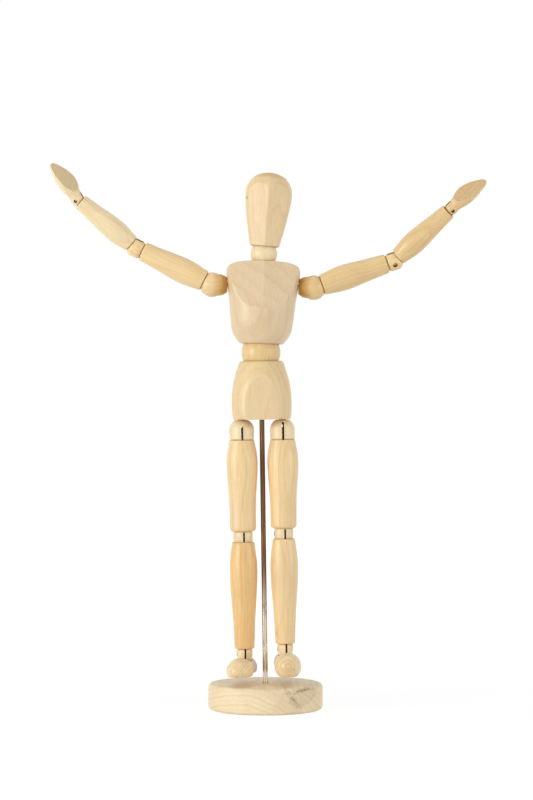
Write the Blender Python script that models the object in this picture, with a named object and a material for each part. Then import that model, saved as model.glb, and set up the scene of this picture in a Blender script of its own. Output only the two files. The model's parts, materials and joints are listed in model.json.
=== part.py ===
"""Jointed wooden lay figure on a round stand.

Lengths are metres, +Z is up, and the figure faces -Y with its own left side at +X. The origin is
the middle of the base's underside. Every limb piece is modelled about the joint that carries it:
the limb runs down -Z from there and the joint's cross pin lies along X.
"""

import math

import bmesh
import bpy
from mathutils import Matrix, Vector

MM = 0.001

# Fits between pieces
FIT_GAP = 0.3 * MM
DISH_GAP = 0.35 * MM
SLOT_GAP = 0.25 * MM
OVERCUT = 1.0 * MM

# Stand
BASE_RADIUS = 32.0 * MM
BASE_THICKNESS = 14.5 * MM
BASE_EDGE = 2.2 * MM
ROD_RADIUS = 1.4 * MM
ROD_SEAT_DEPTH = 10.0 * MM
ROD_PELVIS_DEPTH = 12.0 * MM
ROD_LEAN = -0.77
SOLE_ABOVE_BASE = 5.55 * MM

# Cross pins, links and stems of the limb joints
PIN_RADIUS = 1.0 * MM
PIN_RECESS = 0.9 * MM
PIN_COVER = 1.2 * MM
WRIST_PIN_RADIUS = 0.7 * MM
EYE_WALL = 0.7 * MM
LINK_THICKNESS = 0.5 * MM
LINK_HALF_WIDTH = 1.45 * MM
LINK_TANG = 14.0 * MM
SLOT_FLOOR = 0.5 * MM
STEM_RADIUS = 2.0 * MM
STEM_LENGTH = 10.0 * MM
STEM_WALL = 0.5 * MM

# Springs of the waist and the neck
SPRING_RADIUS = 2.5 * MM
SPRING_WIRE = 0.4 * MM
SPRING_PITCH = 3.0 * MM
SPRING_DEPTH = 12.0 * MM
SPRING_END_GAP = 1.0 * MM
SPRING_LEAN = 24.0

# Pelvis, waist, chest, neck and head; each outline is (height, radius) in millimetres
PELVIS_OUTLINE = (
    (0.0, 15.4), (1.2, 16.2), (9.3, 16.8), (16.5, 16.4), (23.2, 15.2), (29.9, 13.1), (31.8, 12.4),
    (32.7, 11.6),
)
PELVIS_DEPTH_RATIO = 0.92
PELVIS_FRONT_FLAT = 12.9 * MM
PELVIS_FLAT_TALL = 10.0 * MM
PELVIS_FLAT_LEAN = 3.0
WAIST_RADIUS = 10.9 * MM
WAIST_EXPOSED = 9.6 * MM
CHEST_OUTLINE = (
    (0.0, 11.3), (1.2, 12.9), (4.4, 15.4), (8.0, 16.8), (14.5, 17.7), (22.0, 18.45), (33.0, 19.9),
    (40.5, 20.7), (43.2, 19.8), (44.9, 17.0), (45.9, 13.0), (46.4, 8.0),
)
CHEST_DEPTH_RATIO = 0.9
CHEST_RIDGE_TALL = 19.7 * MM
CHEST_RIDGE_OUT = 16.35 * MM
CHEST_FLAT_TURN = 9.5
CHEST_FLAT_BACK = 18.5
NECK_RADIUS = 7.5 * MM
NECK_EXPOSED = 8.3 * MM
HEAD_OUTLINE = (
    (0.0, 7.8), (0.7, 8.3), (3.5, 8.95), (10.2, 10.4), (18.4, 11.9), (25.3, 12.85), (30.0, 13.05),
    (33.0, 12.5), (36.2, 10.9), (38.8, 8.5), (40.4, 5.3), (41.2, 2.2), (41.4, 0.0),
)
HEAD_RIDGE_OUT = 12.4 * MM
HEAD_RIDGE_TALL = 30.0 * MM
HEAD_FLAT_TURN = 24.0
HEAD_FLAT_LEAN = 8.0

# Arms
SHOULDER_ABOVE_CHEST = 32.4 * MM
SHOULDER_REACH = 28.5 * MM
SHOULDER_RADIUS = 6.9 * MM
SHOULDER_SEAT = 8.6 * MM
SHOULDER_SEAT_RADIUS = 4.0 * MM
SHOULDER_BARREL = ((5.5, 6.3), (6.0, 4.2))
SHOULDER_CONE = 62.0
SHOULDER_EXPOSED = 5.0 * MM
AXLE_RADIUS = 1.5 * MM
UPPER_ARM_LENGTH = 38.0 * MM
UPPER_ARM_BELLY = 7.1 * MM
UPPER_ARM_BELLY_AT = 12.0 * MM
UPPER_ARM_NECK = 6.0 * MM
UPPER_ARM_NECK_AT = 9.5 * MM
ELBOW_RADIUS = 5.6 * MM
ELBOW_SIDE_INSET = 0.4 * MM
ELBOW_EXPOSED = 4.0 * MM
FOREARM_LENGTH = 37.0 * MM
FOREARM_UNEVEN = 0.6 * MM
FOREARM_BELLY = 6.3 * MM
FOREARM_BELLY_AT = 10.5 * MM
FOREARM_NECK = 5.1 * MM
FOREARM_NECK_AT = 9.0 * MM
WRIST_RADIUS = 3.75 * MM
WRIST_EXPOSED = 2.5 * MM
WRIST_ROUND = 105.0
HAND_LENGTH = 24.4 * MM
HAND_NECK = 3.65 * MM
HAND_NECK_AT = 3.0 * MM
HAND_PALM = 5.2 * MM
HAND_PALM_AT = 10.2 * MM
HAND_FINGERS = 4.2 * MM
HAND_FINGERS_AT = 17.2 * MM
HAND_TIP = 1.3 * MM
PALM_NEAR = 4.3 * MM
PALM_TIP = 0.2 * MM
PALM_TURN = 28.0

# Legs
HIP_SPREAD = 11.4 * MM
HIP_RADIUS = 7.1 * MM
HIP_SIDE = 6.9 * MM
HIP_SWING_RADIUS = 8.1 * MM
HIP_SEAT = 6.0 * MM
HIP_EXPOSED = 5.2 * MM
THIGH_LENGTH = 50.2 * MM
THIGH_UNEVEN = 0.8 * MM
THIGH_BELLY = 8.65 * MM
THIGH_BELLY_AT = 11.0 * MM
THIGH_NECK = 7.5 * MM
THIGH_NECK_AT = 16.5 * MM
KNEE_RADIUS = 5.9 * MM
KNEE_SIDE_INSET = 0.5 * MM
KNEE_EXPOSED = 3.0 * MM
SHIN_LENGTH = 59.0 * MM
SHIN_UNEVEN = 0.45 * MM
SHIN_BELLY = 7.78 * MM
SHIN_BELLY_AT = 14.5 * MM
SHIN_NECK = 6.15 * MM
SHIN_NECK_AT = 14.0 * MM
ANKLE_RADIUS = 5.0 * MM
ANKLE_SIDE_INSET = 0.5 * MM
ANKLE_EXPOSED = 3.3 * MM
ANKLE_FOOT_RADIUS = 3.7 * MM
ANKLE_SEAT = 3.5 * MM
ANKLE_SPIGOT = 5.2 * MM
FOOT_AXIS_BELOW_ANKLE = 7.8 * MM
SOLE_BELOW_FOOT_AXIS = 4.15 * MM
SOLE_UNEVEN = 1.45 * MM
FOOT_HEEL = 12.0 * MM
FOOT_HEEL_RADIUS = 6.1 * MM
FOOT_WAIST_RADIUS = 5.6 * MM
FOOT_TOE = 26.0 * MM
FOOT_TOE_RADIUS = 7.35 * MM
FOOT_TOE_CENTRE = 17.0 * MM
FOOT_TOE_ROUND = 80.0

# Limb ends: the flat lip round the hollow dish, then the width and the height of the rounded edge
UPPER_ARM_TOP = (0.0 * MM, 0.7 * MM, 0.8 * MM)
UPPER_ARM_FOOT = (0.55 * MM, 0.5 * MM, 0.8 * MM)
FOREARM_TOP = (0.35 * MM, 0.25 * MM, 0.8 * MM)
FOREARM_FOOT = (0.8 * MM, 0.45 * MM, 0.8 * MM)
THIGH_TOP = (0.1 * MM, 0.35 * MM, 0.6 * MM)
THIGH_FOOT = (0.5 * MM, 1.35 * MM, 2.2 * MM)
SHIN_TOP = (0.3 * MM, 0.65 * MM, 1.0 * MM)
SHIN_FOOT = (0.9 * MM, 0.45 * MM, 0.5 * MM)

# Pose, in degrees: a left and a right value where the two sides differ
CHEST_LEAN = 2.45
HEAD_TILT = 3.05
ARM_RAISE = {"left": 20.0, "right": 24.1}
ELBOW_TURN = {"left": -31.0, "right": 30.0}
ELBOW_BEND = {"left": 27.3, "right": 15.9}
WRIST_BEND = {"left": -3.6, "right": 15.0}
HIP_TURN = {"left": 3.0, "right": 3.0}
KNEE_TURN = {"left": 5.0, "right": 3.0}
FOOT_TURN = {"left": -3.0, "right": -14.0}
SIDES = {"left": 1, "right": -1}

# Which end of a cross pin shows in its hole: 1 is the pin's own +X end, -1 the other
SHOULDER_PIN_MOUTH = -1
ELBOW_PIN_MOUTH = {"left": 1, "right": -1}
WRIST_PIN_MOUTH = 1
LEG_PIN_MOUTH = -1

# Facets of the round pieces
BASE_SEGMENTS = 32
TRUNK_SEGMENTS = 24
LIMB_SEGMENTS = 14
STEEL_SEGMENTS = 10
SPRING_POINTS = 8
SPRING_SIDES = 4
SHARP_ANGLE = 35.0
MERGE_DISTANCE = 0.001 * MM
JOINT_MARK = 5.0 * MM

# Steps along the curved stretches of an outline
EDGE_STEPS = 2
DISH_STEPS = 2
SOCKET_STEPS = 4
LIMB_STEPS = 3
BEAD_STEPS = 3
TRUNK_BALL_STEPS = 10
SHOULDER_STEPS = 6
HIP_STEPS = 4
WRIST_STEPS = 5
HEEL_STEPS = 4
TOE_STEPS = 5
FOOT_STEPS = 2
EYE_POINTS = 9

# Finishes; colours are linear
PALE_WOOD = (0.78, 0.60, 0.37)
PINK_WOOD = (0.80, 0.60, 0.42)
AMBER_WOOD = (0.72, 0.50, 0.26)
STEEL = (0.60, 0.58, 0.55)
WOOD_ROUGHNESS = 0.42
STEEL_ROUGHNESS = 0.3

# Sizes that follow from those above
PIN_HOLE = PIN_RADIUS + FIT_GAP
WRIST_PIN_HOLE = WRIST_PIN_RADIUS + FIT_GAP
EYE_RADIUS = PIN_HOLE + EYE_WALL
WRIST_EYE_RADIUS = WRIST_PIN_HOLE + EYE_WALL
SLOT_WIDTH = LINK_THICKNESS + 2 * SLOT_GAP
STEM_BORE = STEM_RADIUS + FIT_GAP
SPRING_BORE = SPRING_RADIUS + SPRING_WIRE + FIT_GAP
PELVIS_HEIGHT = PELVIS_OUTLINE[-1][0] * MM
CHEST_HEIGHT = CHEST_OUTLINE[-1][0] * MM
UPPER_ARM_SPAN = SHOULDER_EXPOSED + UPPER_ARM_LENGTH + ELBOW_EXPOSED
FOREARM_SPAN = ELBOW_EXPOSED + FOREARM_LENGTH + WRIST_EXPOSED
THIGH_SPAN = HIP_EXPOSED + THIGH_LENGTH + KNEE_EXPOSED
SHIN_SPAN = KNEE_EXPOSED + SHIN_LENGTH + ANKLE_EXPOSED
ANKLE_Z = BASE_THICKNESS + SOLE_ABOVE_BASE + SOLE_BELOW_FOOT_AXIS + FOOT_AXIS_BELOW_ANKLE
HIP_Z = ANKLE_Z + SHIN_SPAN + THIGH_SPAN
PELVIS_Z = HIP_Z + HIP_SEAT + FIT_GAP
CHEST_RISE = WAIST_EXPOSED / 2
NECK_RISE = CHEST_RISE + CHEST_HEIGHT + NECK_EXPOSED / 2
SHOULDER_RISE = CHEST_RISE + SHOULDER_ABOVE_CHEST


def clear_scene():
    """Remove every object that the file opens with."""
    for item in list(bpy.data.objects):
        bpy.data.objects.remove(item, do_unlink=True)


def object_from(name, bm):
    """Turn a bmesh into a linked, smooth-shaded object."""
    bmesh.ops.recalc_face_normals(bm, faces=bm.faces)
    mesh = bpy.data.meshes.new(name)
    bm.to_mesh(mesh)
    bm.free()
    mesh.shade_smooth()
    mesh.set_sharp_from_angle(angle=math.radians(SHARP_ANGLE))
    item = bpy.data.objects.new(name, mesh)
    bpy.context.scene.collection.objects.link(item)
    return item


def arc(centre_z, radius, start, end, steps):
    """Points (radius, height) on a circle round the axis, by angles in degrees from +Z."""
    points = []
    for step in range(steps + 1):
        angle = math.radians(start + (end - start) * step / steps)
        points.append((radius * math.sin(angle), centre_z + radius * math.cos(angle)))
    return points


def smooth(points, steps):
    """A curve through the given (radius, height) points, with some steps between each two."""
    stations = [points[0], *points, points[-1]]
    curve = [points[0]]
    for index in range(1, len(stations) - 2):
        before, start, end, after = [Vector(station) for station in stations[index - 1:index + 3]]
        for step in range(1, steps + 1):
            t = step / steps
            lead = (end - before) / 2
            trail = (after - start) / 2
            spread = 3 * (end - start) - 2 * lead - trail
            bend = 2 * (start - end) + lead + trail
            curve.append(tuple(start + lead * t + spread * t * t + bend * t ** 3))
    return curve


def turned(name, outline, segments, closed=False):
    """Spin a (radius, height) outline round Z. A closed outline goes round a bore."""
    bm = bmesh.new()
    verts = [bm.verts.new((radius, 0.0, height)) for radius, height in outline]
    pairs = list(zip(verts, verts[1:]))
    if closed:
        pairs.append((verts[-1], verts[0]))
    edges = [bm.edges.new(pair) for pair in pairs]
    bmesh.ops.spin(bm, geom=verts + edges, axis=(0, 0, 1), cent=(0, 0, 0), angle=math.tau, steps=segments)
    bmesh.ops.remove_doubles(bm, verts=bm.verts, dist=MERGE_DISTANCE)
    return object_from(name, bm)


def rod(name, radius, low, high, segments=STEEL_SEGMENTS):
    """A plain round bar along Z."""
    return turned(name, [(0, high), (radius, high), (radius, low), (0, low)], segments)


def block(name, low, high):
    """A box between two corners."""
    bm = bmesh.new()
    bmesh.ops.create_cube(bm, size=1)
    size = Vector(high) - Vector(low)
    bmesh.ops.scale(bm, vec=size, verts=bm.verts)
    bmesh.ops.translate(bm, vec=(Vector(high) + Vector(low)) / 2, verts=bm.verts)
    return object_from(name, bm)


def lay_along_x(item):
    """Turn a piece modelled along Z so that its +Z end points along +X."""
    item.data.transform(Matrix.Rotation(math.radians(90), 4, "Y"))
    return item


def cut(item, *tools):
    """Take each tool's shape out of a piece, and drop the tool."""
    for tool in tools:
        boolean = item.modifiers.new("cut", "BOOLEAN")
        boolean.operation = "DIFFERENCE"
        boolean.solver = "EXACT"
        boolean.object = tool
        bpy.context.view_layer.update()
        evaluated = item.evaluated_get(bpy.context.evaluated_depsgraph_get())
        result = bpy.data.meshes.new_from_object(evaluated)
        item.modifiers.clear()
        before = item.data
        item.data = result
        bpy.data.meshes.remove(before)
        bpy.data.objects.remove(tool, do_unlink=True)
    item.data.name = item.name
    item.data.shade_smooth()
    item.data.set_sharp_from_angle(angle=math.radians(SHARP_ANGLE))
    return item


def flatten(item, point, normal):
    """Sand a flat: remove what lies beyond a plane, on the side its normal points to."""
    bm = bmesh.new()
    bm.from_mesh(item.data)
    bmesh.ops.bisect_plane(
        bm, geom=bm.verts[:] + bm.edges[:] + bm.faces[:], dist=MERGE_DISTANCE,
        plane_co=point, plane_no=normal, clear_outer=True,
    )
    rim = [edge for edge in bm.edges if edge.is_boundary]
    bmesh.ops.holes_fill(bm, edges=rim, sides=0)
    bmesh.ops.recalc_face_normals(bm, faces=bm.faces)
    bm.to_mesh(item.data)
    bm.free()


def facing(turn, lean):
    """The direction of a flat: -Y turned round Z towards +X, then leaned up, in degrees."""
    direction = Matrix.Rotation(math.radians(turn), 3, "Z") @ Vector((0, -math.cos(math.radians(lean)), 0))
    return direction + Vector((0, 0, math.sin(math.radians(lean))))


def joint(name, parent, location, rotation=None):
    """An empty on a joint's axis, carried by the joint before it."""
    frame = bpy.data.objects.new(name, None)
    frame.empty_display_size = JOINT_MARK
    bpy.context.scene.collection.objects.link(frame)
    frame.parent = parent
    turn = (rotation or Matrix.Identity(3)).to_4x4()
    frame.matrix_local = Matrix.Translation(location) @ turn
    return frame


def finish(item, parent, colour, roughness, metallic):
    """Hang a piece on its joint and give it its own material."""
    item.parent = parent
    material = bpy.data.materials.new(item.name)
    material.use_nodes = True
    shader = material.node_tree.nodes["Principled BSDF"]
    shader.inputs["Base Color"].default_value = (*colour, 1)
    shader.inputs["Roughness"].default_value = roughness
    shader.inputs["Metallic"].default_value = metallic
    item.data.materials.clear()
    item.data.materials.append(material)
    return item


def wooden(item, parent, colour=PALE_WOOD):
    """Finish a piece as varnished wood."""
    return finish(item, parent, colour, WOOD_ROUGHNESS, 0.0)


def steel(item, parent):
    """Finish a piece as bright steel."""
    return finish(item, parent, STEEL, STEEL_ROUGHNESS, 1.0)


def about(axis, degrees):
    """A 3 by 3 rotation about one local axis."""
    return Matrix.Rotation(math.radians(degrees), 3, axis)


def rim_radius(ball_radius, exposed):
    """Radius at which a limb's hollow dish meets its end face, some way off the ball's centre."""
    return math.sqrt((ball_radius + DISH_GAP) ** 2 - exposed ** 2)


def dish(ball_radius, rim, bore):
    """Points of a hollow dish above a ball's centre, from its rim in to the bore."""
    radius = ball_radius + DISH_GAP
    outer = math.degrees(math.asin(rim / radius))
    inner = math.degrees(math.asin(bore / radius))
    return arc(0, radius, outer, inner, DISH_STEPS)


def limb_end(face, rim, end, inward):
    """Points from a dish's rim over the flat lip and round the edge. inward is 1 or -1 along Z."""
    lip, width, height = end
    points = []
    for step in range(EDGE_STEPS + 1):
        angle = math.radians(90 * step / EDGE_STEPS)
        out = rim + lip + width * math.sin(angle)
        points.append((out, face + inward * height * (1 - math.cos(angle))))
    return points


def limb(name, upper, lower, length, belly, neck, bore):
    """A turned limb hanging from its upper joint, with a hollow dish at each end and a bore.

    upper and lower are (ball radius, exposed distance, end); belly and neck are (radius, distance
    from the upper or the lower end face).
    """
    upper_radius, upper_exposed, upper_end = upper
    lower_radius, lower_exposed, lower_end = lower
    top = -upper_exposed
    bottom = top - length
    upper_rim = rim_radius(upper_radius, upper_exposed)
    lower_rim = rim_radius(lower_radius, lower_exposed)
    upper_edge = limb_end(top, upper_rim, upper_end, -1)
    lower_edge = limb_end(bottom, lower_rim, lower_end, 1)
    side = smooth([
        upper_edge[-1],
        (belly[0], top - belly[1]),
        (neck[0], bottom + neck[1]),
        lower_edge[-1],
    ], LIMB_STEPS)
    upper_dish = [(across, -height) for across, height in dish(upper_radius, upper_rim, bore)]
    pivot = bottom - lower_exposed
    lower_dish = [(across, pivot + height) for across, height in dish(lower_radius, lower_rim, bore)]
    ends = (upper_edge[:-1], list(reversed(lower_edge[:-1])))
    outline = [*ends[0], *side, *ends[1], *lower_dish, *reversed(upper_dish)]
    return turned(name, outline, LIMB_SEGMENTS, closed=True)


def bead_outline(radius, side):
    """Outline of a bead whose two ends are one sphere and whose side is turned down to a cylinder."""
    angle = math.degrees(math.asin(side / radius))
    return arc(0, radius, 0, angle, BEAD_STEPS) + arc(0, radius, 180 - angle, 180, BEAD_STEPS)


def slot_tool(reach, eye_radius, towards=-1):
    """Tool for the saw slot that a link's eye swings in, open towards -Z or +Z."""
    floor = -towards * (eye_radius + SLOT_FLOOR)
    far = towards * (reach + OVERCUT)
    half = SLOT_WIDTH / 2
    low = (-half, -reach - OVERCUT, min(floor, far))
    high = (half, reach + OVERCUT, max(floor, far))
    return block("slot", low, high)


def pin_hole_tool(side, hole, mouth):
    """Tool for a cross pin's blind hole, drilled in from its mouth."""
    tool = lay_along_x(rod("pin hole", hole, -(side - PIN_COVER), side + 2 * OVERCUT))
    if mouth < 0:
        tool.data.transform(Matrix.Rotation(math.pi, 4, "Z"))
    return tool


def cross_pin(name, side, radius, mouth):
    """A cross pin, sunk a little below the mouth of its hole."""
    pin = lay_along_x(rod(name, radius, -(side - PIN_COVER - FIT_GAP), side - PIN_RECESS))
    if mouth < 0:
        pin.data.transform(Matrix.Rotation(math.pi, 4, "Z"))
    return pin


def stem_floor():
    """Height above a bead's pin at which its stem's bore ends."""
    return EYE_RADIUS + SLOT_FLOOR + STEM_WALL


def stem_tool(radius):
    """Tool for the bore that a stem is fixed in."""
    return rod("stem bore", STEM_BORE, stem_floor(), radius + OVERCUT, LIMB_SEGMENTS)


def stem(name, exposed):
    """A stem that stands in a bead and turns in the piece above it."""
    return rod(name, STEM_RADIUS, stem_floor() + FIT_GAP, exposed + STEM_LENGTH)


def eye_arc(centre, radius, half_width, towards):
    """Points (y, z) round an eye, from one side of its strip to the other. towards is the strip."""
    opening = math.asin(half_width / radius)
    points = []
    for step in range(EYE_POINTS):
        angle = opening + (math.tau - 2 * opening) * step / (EYE_POINTS - 1)
        points.append((radius * math.sin(angle) * -towards, centre + radius * math.cos(angle) * towards))
    return points


def ring(centre, radius):
    """Points (y, z) of an eye's round hole."""
    turns = [math.tau * step / STEEL_SEGMENTS for step in range(STEEL_SEGMENTS)]
    return [(radius * math.sin(turn), centre + radius * math.cos(turn)) for turn in turns]


def strip(name, outline, holes):
    """A flat strip of the given (y, z) outline, with round holes."""
    bm = bmesh.new()
    edges = []
    for loop in (outline, *holes):
        verts = [bm.verts.new((-LINK_THICKNESS / 2, y, z)) for y, z in loop]
        edges += [bm.edges.new((verts[index - 1], verts[index])) for index in range(len(verts))]
    bmesh.ops.triangle_fill(bm, edges=edges, use_beauty=True)
    grown = bmesh.ops.extrude_face_region(bm, geom=bm.faces[:])
    moved = [element for element in grown["geom"] if isinstance(element, bmesh.types.BMVert)]
    bmesh.ops.translate(bm, vec=(LINK_THICKNESS, 0, 0), verts=moved)
    return object_from(name, bm)


def tang_link(name, exposed):
    """A link whose eye swings on the pin above and whose tang sits in the limb below."""
    foot = -(exposed + LINK_TANG)
    outline = eye_arc(0, EYE_RADIUS, LINK_HALF_WIDTH, -1)
    outline += [(-LINK_HALF_WIDTH, foot), (LINK_HALF_WIDTH, foot)]
    return strip(name, outline, [ring(0, PIN_HOLE)])


def through_link(name, span, lower_eye, lower_hole):
    """A link that runs through a limb, with an eye on the pin at either end."""
    outline = eye_arc(0, EYE_RADIUS, LINK_HALF_WIDTH, -1)
    outline += eye_arc(-span, lower_eye, LINK_HALF_WIDTH, 1)
    return strip(name, outline, [ring(0, PIN_HOLE), ring(-span, lower_hole)])


def spring(name, low, high):
    """A coil spring along Z, as one unbroken wire."""
    turns = (high - low - 2 * SPRING_WIRE) / SPRING_PITCH
    count = math.ceil(turns * SPRING_POINTS)
    bm = bmesh.new()
    rings = []
    for step in range(count + 1):
        turn = math.tau * turns * step / count
        out = Vector((math.cos(turn), math.sin(turn), 0))
        middle = out * SPRING_RADIUS
        middle.z = low + SPRING_WIRE + SPRING_PITCH * turns * step / count
        corners = []
        for corner in range(SPRING_SIDES):
            angle = math.tau * corner / SPRING_SIDES
            offset = out * math.cos(angle) + Vector((0, 0, math.sin(angle)))
            corners.append(bm.verts.new(middle + offset * SPRING_WIRE))
        rings.append(corners)
    for first, second in zip(rings, rings[1:]):
        for index in range(SPRING_SIDES):
            bm.faces.new((first[index - 1], first[index], second[index], second[index - 1]))
    bm.faces.new(rings[0])
    bm.faces.new(rings[-1])
    return object_from(name, bm)


def oval(name, outline, depth_ratio):
    """A turned trunk piece, a little shallower than it is wide, closed on its axis."""
    side = [(radius * MM, height * MM) for height, radius in outline]
    if side[0][0] > 0:
        side.insert(0, (0, side[0][1]))
    if side[-1][0] > 0:
        side.append((0, side[-1][1]))
    side.reverse()
    item = turned(name, side, TRUNK_SEGMENTS)
    item.data.transform(Matrix.Diagonal((1, depth_ratio, 1, 1)))
    return item


def socket_tool(ball_radius, depth):
    """Tool for the dish that a trunk ball sits in, with the spring's bore above it."""
    radius = ball_radius + DISH_GAP
    mouth = math.degrees(math.asin(SPRING_BORE / radius))
    bore = [(0, depth), (SPRING_BORE, depth)]
    return turned("socket", bore + arc(0, radius, mouth, 90, SOCKET_STEPS) + [(0, 0)], TRUNK_SEGMENTS)


def flared_tool(ball_radius):
    """Tool for a trunk ball's bore, narrow at the middle so that the springs can lean in it."""
    end = ball_radius + OVERCUT
    wide = SPRING_BORE + end * math.tan(math.radians(SPRING_LEAN))
    outline = [(0, end), (wide, end), (SPRING_BORE, 0), (wide, -end), (0, -end)]
    return turned("flared bore", outline, LIMB_SEGMENTS)


def trunk_ball(name, radius):
    """A ball of the waist or the neck."""
    ball = turned(name, arc(0, radius, 0, 180, TRUNK_BALL_STEPS), TRUNK_SEGMENTS)
    return cut(ball, flared_tool(radius))


def build_stand():
    """The round base and the rod that carries the figure."""
    stand = joint("stand", None, (0, 0, 0))
    inner = BASE_RADIUS - BASE_EDGE
    upper = arc(BASE_THICKNESS - BASE_EDGE, BASE_EDGE, 0, 90, EDGE_STEPS)
    lower = arc(BASE_EDGE, BASE_EDGE, 90, 180, EDGE_STEPS)
    side = [(inner + across, height) for across, height in upper + lower]
    base = turned("base", [(0, BASE_THICKNESS), *side, (0, 0)], BASE_SEGMENTS)
    seat = rod("seat", ROD_RADIUS + FIT_GAP, -ROD_SEAT_DEPTH, OVERCUT)
    top = PELVIS_Z + ROD_PELVIS_DEPTH - BASE_THICKNESS
    carrier = rod("stand_rod", ROD_RADIUS, FIT_GAP - ROD_SEAT_DEPTH, top)
    for item in (seat, carrier):
        item.data.transform(Matrix.Translation((0, 0, BASE_THICKNESS)) @ about("Y", ROD_LEAN).to_4x4())
    cut(base, seat)
    wooden(base, stand)
    steel(carrier, stand)
    return stand


def build_pelvis(stand):
    """The pelvis, which turns on the rod."""
    lean = about("Y", ROD_LEAN)
    carried = lean @ Vector((0, 0, PELVIS_Z - BASE_THICKNESS))
    frame = joint("figure_turn", stand, carried + Vector((0, 0, BASE_THICKNESS)), lean)
    pelvis = oval("pelvis", PELVIS_OUTLINE, PELVIS_DEPTH_RATIO)
    flatten(pelvis, (0, -PELVIS_FRONT_FLAT, PELVIS_FLAT_TALL), facing(0, -PELVIS_FLAT_LEAN))
    socket = socket_tool(WAIST_RADIUS, WAIST_EXPOSED / 2 + SPRING_DEPTH + FIT_GAP)
    socket.data.transform(Matrix.Rotation(math.pi, 4, "X"))
    socket.data.transform(Matrix.Translation((0, 0, PELVIS_HEIGHT + WAIST_EXPOSED / 2)))
    cut(pelvis, socket, rod("rod bore", ROD_RADIUS + FIT_GAP, -OVERCUT, ROD_PELVIS_DEPTH + FIT_GAP))
    for side in SIDES.values():
        bore = rod("stem bore", STEM_BORE, -OVERCUT, STEM_LENGTH)
        bore.data.transform(Matrix.Translation((side * HIP_SPREAD, 0, 0)))
        cut(pelvis, bore)
    wooden(pelvis, frame)
    return frame


def build_waist(pelvis):
    """The waist ball and the spring below it."""
    height = PELVIS_HEIGHT + WAIST_EXPOSED / 2
    twist = joint("waist_twist", pelvis, (0, 0, height))
    steel(spring("waist_spring", -(WAIST_EXPOSED / 2 + SPRING_DEPTH), -SPRING_END_GAP), twist)
    bend = joint("waist_bend", twist, (0, 0, 0))
    wooden(trunk_ball("waist_ball", WAIST_RADIUS), bend)
    return bend


def build_chest(waist):
    """The chest with its sanded flats, its two springs and the shoulders' axle."""
    frame = joint("waist_lean", waist, (0, 0, 0), about("Y", CHEST_LEAN))
    chest = oval("chest", CHEST_OUTLINE, CHEST_DEPTH_RATIO)
    ridge = Vector((0, -CHEST_RIDGE_OUT, CHEST_RIDGE_TALL))
    for side in SIDES.values():
        flatten(chest, ridge, facing(side * CHEST_FLAT_TURN, CHEST_FLAT_BACK))
    chest.data.transform(Matrix.Translation((0, 0, CHEST_RISE)))
    neck_socket = socket_tool(NECK_RADIUS, NECK_EXPOSED / 2 + SPRING_DEPTH / 2)
    neck_socket.data.transform(Matrix.Rotation(math.pi, 4, "X"))
    neck_socket.data.transform(Matrix.Translation((0, 0, NECK_RISE)))
    seat = SHOULDER_REACH - SHOULDER_SEAT - FIT_GAP
    hole = AXLE_RADIUS + FIT_GAP
    seat_radius = SHOULDER_SEAT_RADIUS + 2 * FIT_GAP
    end = SHOULDER_REACH
    steps = [(0, end), (seat_radius, end), (seat_radius, seat), (hole, seat)]
    mirrored = [(radius, -along) for radius, along in reversed(steps)]
    axle_bore = lay_along_x(turned("axle bore", steps + mirrored, LIMB_SEGMENTS))
    axle_bore.data.transform(Matrix.Translation((0, 0, SHOULDER_RISE)))
    cut(chest, socket_tool(WAIST_RADIUS, CHEST_RISE + SPRING_DEPTH + FIT_GAP), neck_socket, axle_bore)
    wooden(chest, frame, PINK_WOOD)
    steel(spring("chest_spring", SPRING_END_GAP, CHEST_RISE + SPRING_DEPTH), frame)
    neck_spring = spring("neck_spring", -(NECK_EXPOSED / 2 + SPRING_DEPTH / 2 - FIT_GAP), -SPRING_END_GAP)
    neck_spring.data.transform(Matrix.Translation((0, 0, NECK_RISE)))
    steel(neck_spring, frame)
    reach = SHOULDER_REACH - stem_floor() - FIT_GAP
    axle = lay_along_x(rod("shoulder_axle", AXLE_RADIUS, -reach, reach))
    axle.data.transform(Matrix.Translation((0, 0, SHOULDER_RISE)))
    steel(axle, frame)
    return frame


def build_head(chest):
    """The neck ball, the spring above it and the head."""
    nod = joint("neck_nod", chest, (0, 0, NECK_RISE))
    wooden(trunk_ball("neck", NECK_RADIUS), nod)
    tilt = joint("neck_tilt", nod, (0, 0, 0), about("Y", HEAD_TILT))
    top = NECK_EXPOSED / 2 + SPRING_DEPTH
    steel(spring("head_spring", SPRING_END_GAP, top), tilt)
    turn = joint("head_turn", tilt, (0, 0, 0))
    head = oval("head", HEAD_OUTLINE, 1.0)
    ridge = Vector((0, -HEAD_RIDGE_OUT, HEAD_RIDGE_TALL))
    for side in SIDES.values():
        flatten(head, ridge, facing(side * HEAD_FLAT_TURN, -HEAD_FLAT_LEAN))
    head.data.transform(Matrix.Translation((0, 0, NECK_EXPOSED / 2)))
    cut(head, socket_tool(NECK_RADIUS, top + FIT_GAP))
    wooden(head, turn)


def shoulder_ball(name, mouth):
    """A shoulder bead, turned about its axle at +Z, with a flat that runs on the chest."""
    face = [(0, SHOULDER_SEAT), (SHOULDER_SEAT_RADIUS, SHOULDER_SEAT)]
    barrel = [(radius * MM, along * MM) for radius, along in SHOULDER_BARREL]
    round_side = arc(0, SHOULDER_RADIUS, SHOULDER_CONE, 180, SHOULDER_STEPS)
    ball = turned(name, face + barrel + round_side, LIMB_SEGMENTS)
    axle_bore = rod("axle bore", AXLE_RADIUS + FIT_GAP, stem_floor(), SHOULDER_SEAT + OVERCUT)
    slot = slot_tool(SHOULDER_RADIUS, EYE_RADIUS)
    return cut(ball, slot, pin_hole_tool(SHOULDER_RADIUS, PIN_HOLE, mouth), axle_bore)


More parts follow.
